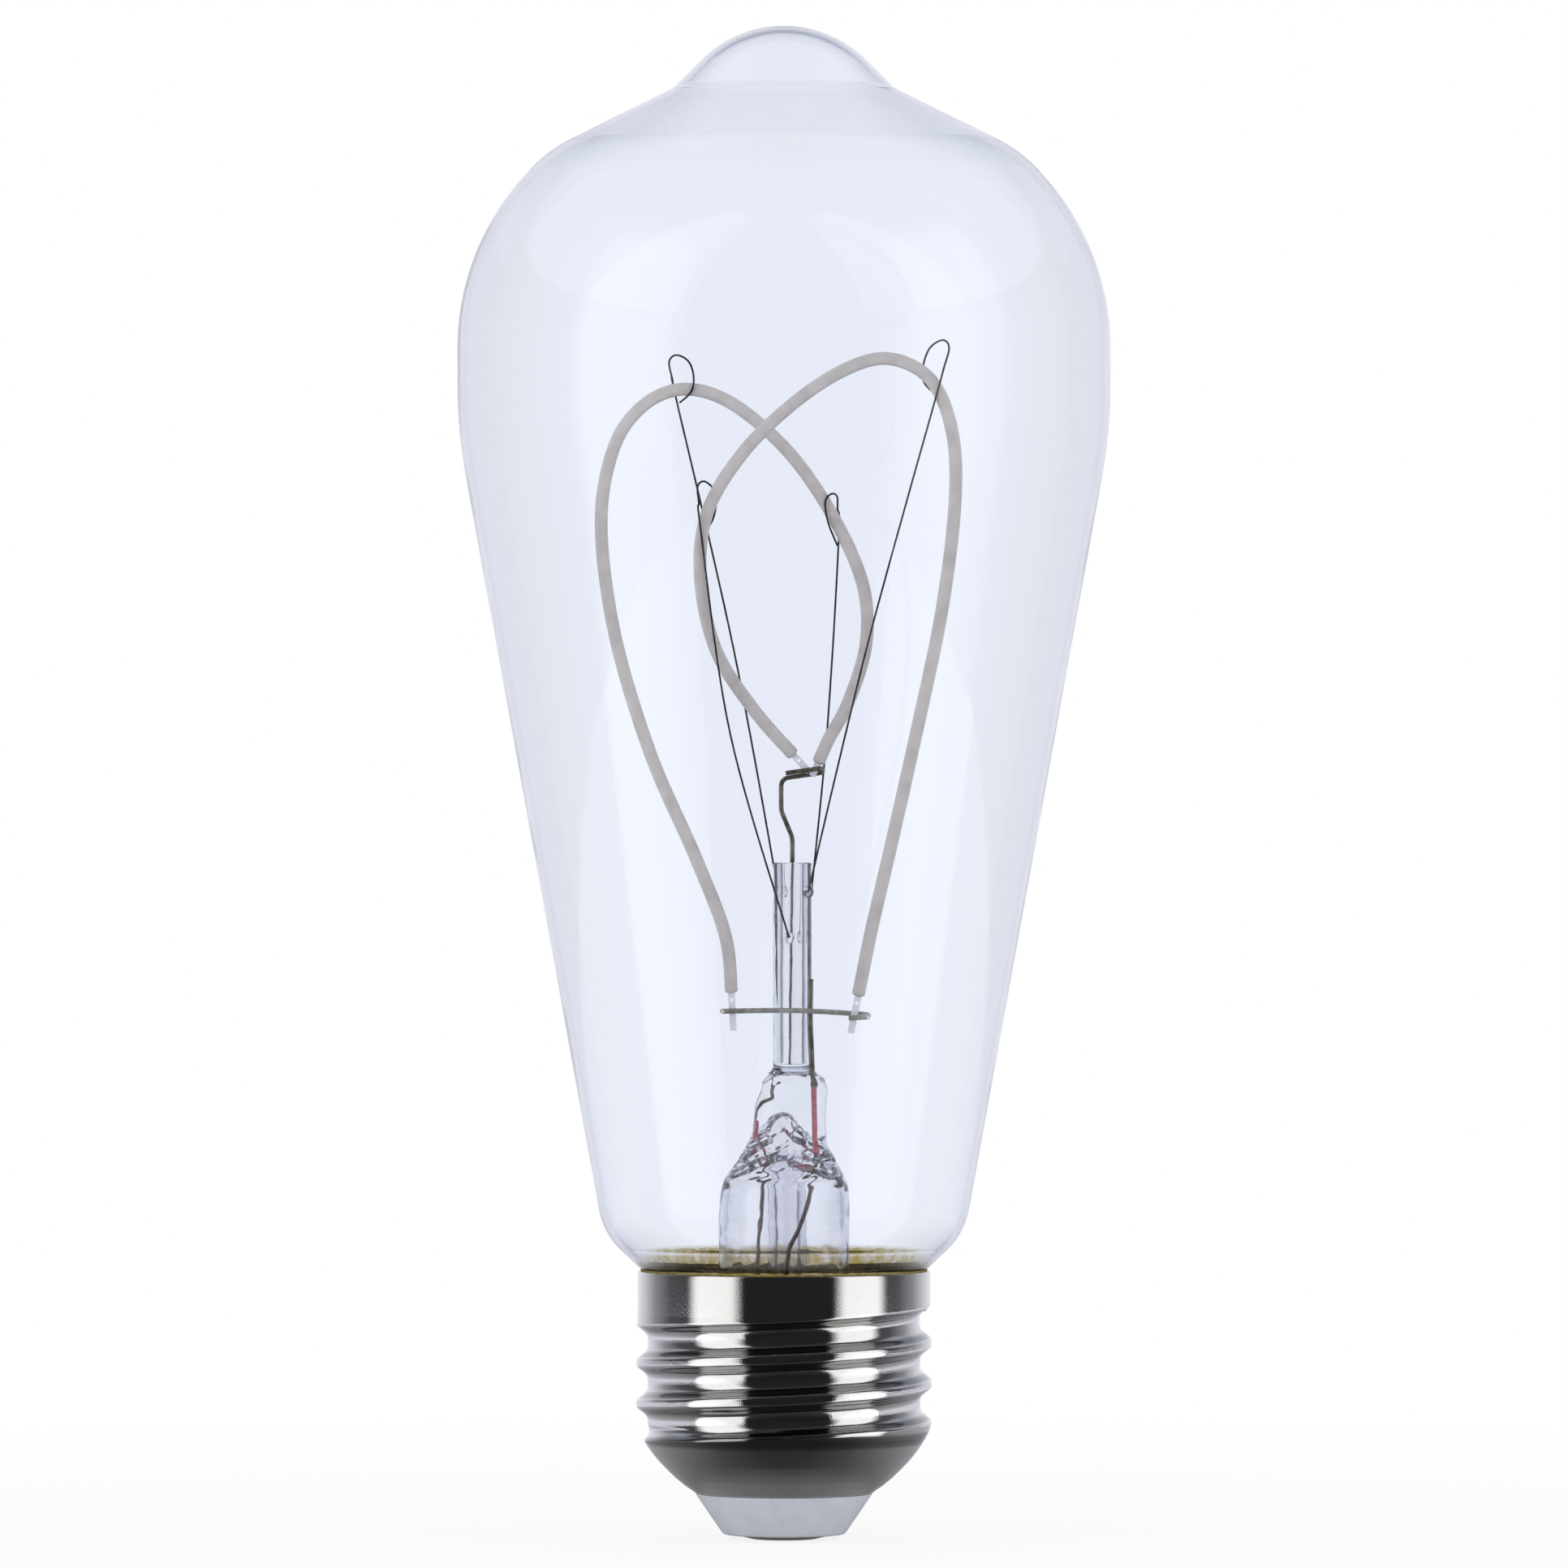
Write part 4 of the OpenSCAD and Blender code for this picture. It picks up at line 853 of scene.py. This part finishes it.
green_board = solid_finish("green board", shade(46, 110, 66), shade(34, 88, 52), 0.4, 0.0, 1.2)
black_epoxy = solid_finish("black epoxy", shade(42, 42, 44), shade(30, 30, 32), 0.5, 0.0, 0.5)
can_sleeve = solid_finish("capacitor sleeve", shade(58, 62, 84), shade(44, 48, 70), 0.35, 0.1, 1.5)
white_ceramic = solid_finish("white ceramic", shade(232, 230, 224), shade(216, 212, 204), 0.4, 0.0, 0.6)
resistor_paint = solid_finish("resistor paint", shade(120, 160, 140), shade(100, 140, 122), 0.4, 0.0, 0.8)
red_sleeve = solid_finish("red insulation", shade(196, 52, 44), shade(170, 40, 36), 0.45, 0.0, 1.0)
blue_sleeve = solid_finish("blue insulation", shade(52, 72, 180), shade(40, 58, 156), 0.45, 0.0, 1.0)
refinish(green_board, "driver_board")
refinish(black_epoxy, "bridge_rectifier", "driver_chip")
refinish(can_sleeve, "smoothing_capacitor")
refinish(white_ceramic, "chip_resistors")
refinish(resistor_paint, "fusible_resistor")
refinish(red_sleeve, "contact_wire")
refinish(blue_sleeve, "shell_wire")

# FLOOR
# A pale round table top that turns to the backdrop's plain white away from the lamp. Mirror
# images show it dark in front, with two white cards that carry the soft boxes on downwards.
# Sizes from here on are in metres.

table_r, shaded_r = 0.3, 0.2
card_angles, card_r, card_blur = ((-80, -34), (41, 87)), 0.0124, 0.002
card_start, card_full, card_glow = 0.023, 0.029, 1.05
under_r, under_full, under_glow = 0.0125, 0.0075, 0.1
floor_mesh = bpy.data.meshes.new("table")
a = np.arange(96) * 2 * np.pi / 96
rim = np.stack([table_r * np.cos(a), table_r * np.sin(a), 0 * a - 0.00002], 1)
floor_mesh.from_pydata(rim.tolist(), [], [list(range(96))])
table = bpy.data.objects.new("table", floor_mesh)
bpy.context.scene.collection.objects.link(table)
white_top = bpy.data.materials.new("white table top")
white_top.use_nodes = True
nodes, links = white_top.node_tree.nodes, white_top.node_tree.links
top, out = nodes["Principled BSDF"], nodes["Material Output"]
top.inputs["Base Color"].default_value = (0.9, 0.9, 0.9, 1)
top.inputs["Roughness"].default_value = 0.9
# The camera, also through glass, sees the backdrop's white, less a little near the lamp, where
# the table top and its shadows show.
place, reach = nodes.new("ShaderNodeTexCoord"), nodes.new("ShaderNodeTexGradient")
reach.gradient_type = "SPHERICAL"
size = nodes.new("ShaderNodeMapping")
size.inputs["Scale"].default_value = (1 / shaded_r, 1 / shaded_r, 1 / shaded_r)
near = nodes.new("ShaderNodeValToRGB")
near.color_ramp.elements[0].position = 0.0
near.color_ramp.elements[0].color = (0, 0, 0, 1)
near.color_ramp.elements[1].position = 0.6
near.color_ramp.elements[1].color = (0.15, 0.15, 0.15, 1)
glow, ray, seen, mix = (
    nodes.new("ShaderNode" + k) for k in ("Emission", "LightPath", "Math", "MixShader")
)
away, share = nodes.new("ShaderNodeMath"), nodes.new("ShaderNodeMath")
seen.operation, away.operation, share.operation = "MAXIMUM", "SUBTRACT", "MULTIPLY"
away.inputs[0].default_value = 1.0
links.new(place.outputs["Object"], size.inputs["Vector"])
links.new(size.outputs["Vector"], reach.inputs["Vector"])
links.new(reach.outputs["Fac"], near.inputs["Fac"])
links.new(near.outputs["Color"], away.inputs[1])
links.new(ray.outputs["Is Camera Ray"], seen.inputs[0])
links.new(ray.outputs["Is Transmission Ray"], seen.inputs[1])
links.new(seen.outputs["Value"], share.inputs[0])
links.new(away.outputs["Value"], share.inputs[1])
links.new(share.outputs["Value"], mix.inputs["Fac"])
links.new(top.outputs["BSDF"], mix.inputs[1])
links.new(glow.outputs["Emission"], mix.inputs[2])
# In a mirror image the floor pales from front to back, by y + |x|.
part, aside, out_of_front, span, behind, dim, mirrored = (
    nodes.new("ShaderNode" + k)
    for k in ("SeparateXYZ", "Math", "Math", "MapRange", "ValToRGB", "Emission", "MixShader")
)
aside.operation, out_of_front.operation = "ABSOLUTE", "ADD"
links.new(place.outputs["Object"], part.inputs["Vector"])
links.new(part.outputs["X"], aside.inputs[0])
links.new(aside.outputs["Value"], out_of_front.inputs[0])
links.new(part.outputs["Y"], out_of_front.inputs[1])
span.inputs["From Min"].default_value = -0.05
span.inputs["From Max"].default_value = 0.15
links.new(out_of_front.outputs["Value"], span.inputs["Value"])
links.new(span.outputs["Result"], behind.inputs["Fac"])
behind.color_ramp.elements[0].color = (0.015, 0.015, 0.015, 1)
behind.color_ramp.elements[1].color = (0.75, 0.76, 0.86, 1)
for at, grey in ((0.2, 0.035), (0.25, 0.07), (0.4, 0.28)):
    behind.color_ramp.elements.new(at).color = (grey, grey, 1.06 * grey, 1)
# The cards: each lies between two slanting lines, where line t passes the axis at the distance
# card_r sin(t / 2), and begins card_start from the axis. The floor glows a little under the cap.
far_out, start, under, level, cards_level, both = (
    nodes.new("ShaderNode" + k)
    for k in ("VectorMath", "MapRange", "MapRange", "Math", "Emission", "AddShader")
)
far_out.operation, level.operation = "LENGTH", "MULTIPLY_ADD"
links.new(place.outputs["Object"], far_out.inputs[0])
sides = []
for first, last in card_angles:
    for turn, inward in ((first, 1), (last, -1)):
        t = np.radians(turn)
        across, edge = nodes.new("ShaderNodeVectorMath"), nodes.new("ShaderNodeMapRange")
        across.operation, edge.interpolation_type = "DOT_PRODUCT", "SMOOTHSTEP"
        across.inputs[1].default_value = (np.cos(t), np.sin(t), 0)
        line_at = -card_r * np.sin(t / 2)
        edge.inputs["From Min"].default_value = line_at - inward * card_blur
        edge.inputs["From Max"].default_value = line_at + inward * card_blur
        links.new(place.outputs["Object"], across.inputs[0])
        links.new(across.outputs["Value"], edge.inputs["Value"])
        sides.append(edge.outputs["Result"])
cards = []
for k in (0, 2):
    card = nodes.new("ShaderNodeMath")
    card.operation = "MULTIPLY"
    links.new(sides[k], card.inputs[0])
    links.new(sides[k + 1], card.inputs[1])
    cards.append(card.outputs["Value"])
card = nodes.new("ShaderNodeMath")
card.operation = "MAXIMUM"
links.new(cards[0], card.inputs[0])
links.new(cards[1], card.inputs[1])
start.interpolation_type = under.interpolation_type = "SMOOTHSTEP"
start.inputs["From Min"].default_value = card_start
start.inputs["From Max"].default_value = card_full
start.inputs["To Max"].default_value = card_glow
links.new(far_out.outputs["Value"], start.inputs["Value"])
under.inputs["From Min"].default_value = under_r
under.inputs["From Max"].default_value = under_full
under.inputs["To Max"].default_value = under_glow
links.new(far_out.outputs["Value"], under.inputs["Value"])
links.new(card.outputs["Value"], level.inputs[0])
links.new(start.outputs["Result"], level.inputs[1])
links.new(under.outputs["Result"], level.inputs[2])
links.new(level.outputs["Value"], cards_level.inputs["Strength"])
links.new(behind.outputs["Color"], dim.inputs["Color"])
# A ray that a mirror has sent here sees the mirrored floor, any other ray the real one.
again = nodes.new("ShaderNodeMath")
again.operation = "GREATER_THAN"
again.inputs[1].default_value = 0.5
links.new(ray.outputs["Glossy Depth"], again.inputs[0])
links.new(again.outputs["Value"], mirrored.inputs["Fac"])
links.new(mix.outputs["Shader"], mirrored.inputs[1])
links.new(dim.outputs["Emission"], both.inputs[0])
links.new(cards_level.outputs["Emission"], both.inputs[1])
links.new(both.outputs["Shader"], mirrored.inputs[2])
links.new(mirrored.outputs["Shader"], out.inputs["Surface"])
floor_mesh.materials.append(white_top)

# LAMPS AND BACKDROP
# Two tall soft boxes of white cloth, one to each side of the camera, and a white room round the
# table. Mirror images show the room dark behind the camera and pale behind the lamp.


def soft_box(name, azimuth, distance, width, low, high, glow, fade=0.25):
    """A tall lamp at an angle to the right of the camera. Its light per area is glow, times
    3 u^2 - 2 u^3 across the share fade of its width and height at each edge."""
    lamp = bpy.data.lights.new(name, "AREA")
    lamp.shape = "RECTANGLE"
    lamp.size, lamp.size_y = width, high - low
    lamp.energy = glow * np.pi * width * (high - low)
    lamp.use_nodes = True
    nodes, links = lamp.node_tree.nodes, lamp.node_tree.links
    place, part, share = (nodes.new("ShaderNode" + k) for k in ("NewGeometry", "SeparateXYZ", "Math"))
    share.operation = "MULTIPLY"
    links.new(place.outputs["Parametric"], part.inputs["Vector"])
    for k, side in enumerate("XY"):
        inward, rise = nodes.new("ShaderNodeMath"), nodes.new("ShaderNodeMapRange")
        inward.operation = "PINGPONG"
        inward.inputs[1].default_value = 0.5
        rise.interpolation_type = "SMOOTHSTEP"
        rise.inputs["From Max"].default_value = fade
        links.new(part.outputs[side], inward.inputs[0])
        links.new(inward.outputs["Value"], rise.inputs["Value"])
        links.new(rise.outputs["Result"], share.inputs[k])
    links.new(share.outputs["Value"], nodes["Emission"].inputs["Strength"])
    stand = bpy.data.objects.new(name, lamp)
    a = np.radians(azimuth)
    stand.location = (distance * np.sin(a), -distance * np.cos(a), (low + high) / 2)
    stand.rotation_euler = (np.pi / 2, 0, a)
    bpy.context.scene.collection.objects.link(stand)


for side, azimuth in (("left", -57), ("right", 64)):
    soft_box("soft box " + side, azimuth, distance=1.1, width=1.05, low=-0.6, high=1.4, glow=1.12)

room = bpy.data.worlds.new("white room")
bpy.context.scene.world = room
room.use_nodes = True
nodes, links = room.node_tree.nodes, room.node_tree.links
light = nodes["Background"]
ray, place, part, shine, seen, pick, direct, through_glass = (
    nodes.new("ShaderNode" + k)
    for k in ("LightPath", "TexCoord", "SeparateXYZ", "ValToRGB", "Math", "Mix", "Math", "Math")
)
# The camera sees plain white, also through glass, but not by way of a mirror.
direct.operation, through_glass.operation = "LESS_THAN", "MULTIPLY"
direct.inputs[1].default_value = 0.5
links.new(ray.outputs["Glossy Depth"], direct.inputs[0])
links.new(direct.outputs["Value"], through_glass.inputs[0])
links.new(ray.outputs["Is Transmission Ray"], through_glass.inputs[1])
links.new(place.outputs["Generated"], part.inputs["Vector"])
# Mirrors see the room from dark in front to pale behind.
depth = nodes.new("ShaderNodeMapRange")
depth.inputs["From Min"].default_value = -1.0
links.new(part.outputs["Y"], depth.inputs["Value"])
links.new(depth.outputs["Result"], shine.inputs["Fac"])
stops = shine.color_ramp.elements
stops[0].position, stops[0].color = 0.12, (0.02, 0.018, 0.018, 1)
stops[1].position, stops[1].color = 1.0, (0.86, 0.88, 0.96, 1)
for at, level in ((0.6, 0.09), (0.77, 0.3), (0.91, 0.7)):
    stops.new(at).color = (0.98 * level, level, 1.1 * level, 1)
pick.data_type = "RGBA"
seen.operation = "MAXIMUM"
links.new(ray.outputs["Is Camera Ray"], seen.inputs[0])
links.new(through_glass.outputs["Value"], seen.inputs[1])
# Matte surfaces get an even light.
even_light = nodes.new("ShaderNodeMix")
even_light.data_type = "RGBA"
links.new(ray.outputs["Is Diffuse Ray"], even_light.inputs["Factor"])
# Mirrors see a greyer ceiling above and behind the lamp.
ceiling, overhead = nodes.new("ShaderNodeMix"), nodes.new("ShaderNodeMapRange")
ceiling.data_type = "RGBA"
ceiling.inputs[7].default_value = (0.4, 0.42, 0.5, 1)
backward, above_behind = nodes.new("ShaderNodeMapRange"), nodes.new("ShaderNodeMath")
above_behind.operation = "MULTIPLY"
overhead.interpolation_type = backward.interpolation_type = "SMOOTHSTEP"
overhead.inputs["From Min"].default_value = 0.3
overhead.inputs["From Max"].default_value = 0.6
backward.inputs["From Min"].default_value = 0.15
backward.inputs["From Max"].default_value = 0.5
links.new(part.outputs["Z"], overhead.inputs["Value"])
links.new(part.outputs["Y"], backward.inputs["Value"])
links.new(overhead.outputs["Result"], above_behind.inputs[0])
links.new(backward.outputs["Result"], above_behind.inputs[1])
links.new(above_behind.outputs["Value"], ceiling.inputs["Factor"])
links.new(shine.outputs["Color"], ceiling.inputs[6])
links.new(ceiling.outputs[2], even_light.inputs[6])
even_light.inputs[7].default_value = (0.88, 0.88, 0.9, 1)
links.new(seen.outputs["Value"], pick.inputs["Factor"])
links.new(even_light.outputs[2], pick.inputs[6])
pick.inputs[7].default_value = (1, 1, 1, 1)
links.new(pick.outputs[2], light.inputs["Color"])

# CAMERA
# A long lens, a metre in front of the lamp and level with its middle, so that the lamp's sides
# look almost straight.

camera_y, camera_z, focal_length = -1.02, 0.067, 263.7
lens = bpy.data.cameras.new("camera")
lens.lens = focal_length
lens.clip_end = 50
camera = bpy.data.objects.new("camera", lens)
camera.location = (0.0, camera_y, camera_z)
camera.rotation_euler = (np.pi / 2, 0, 0)
bpy.context.scene.collection.objects.link(camera)
bpy.context.scene.camera = camera
bpy.context.scene.view_settings.view_transform = "Standard"
bpy.context.scene.cycles.max_bounces = 32
bpy.context.scene.cycles.transmission_bounces = 32
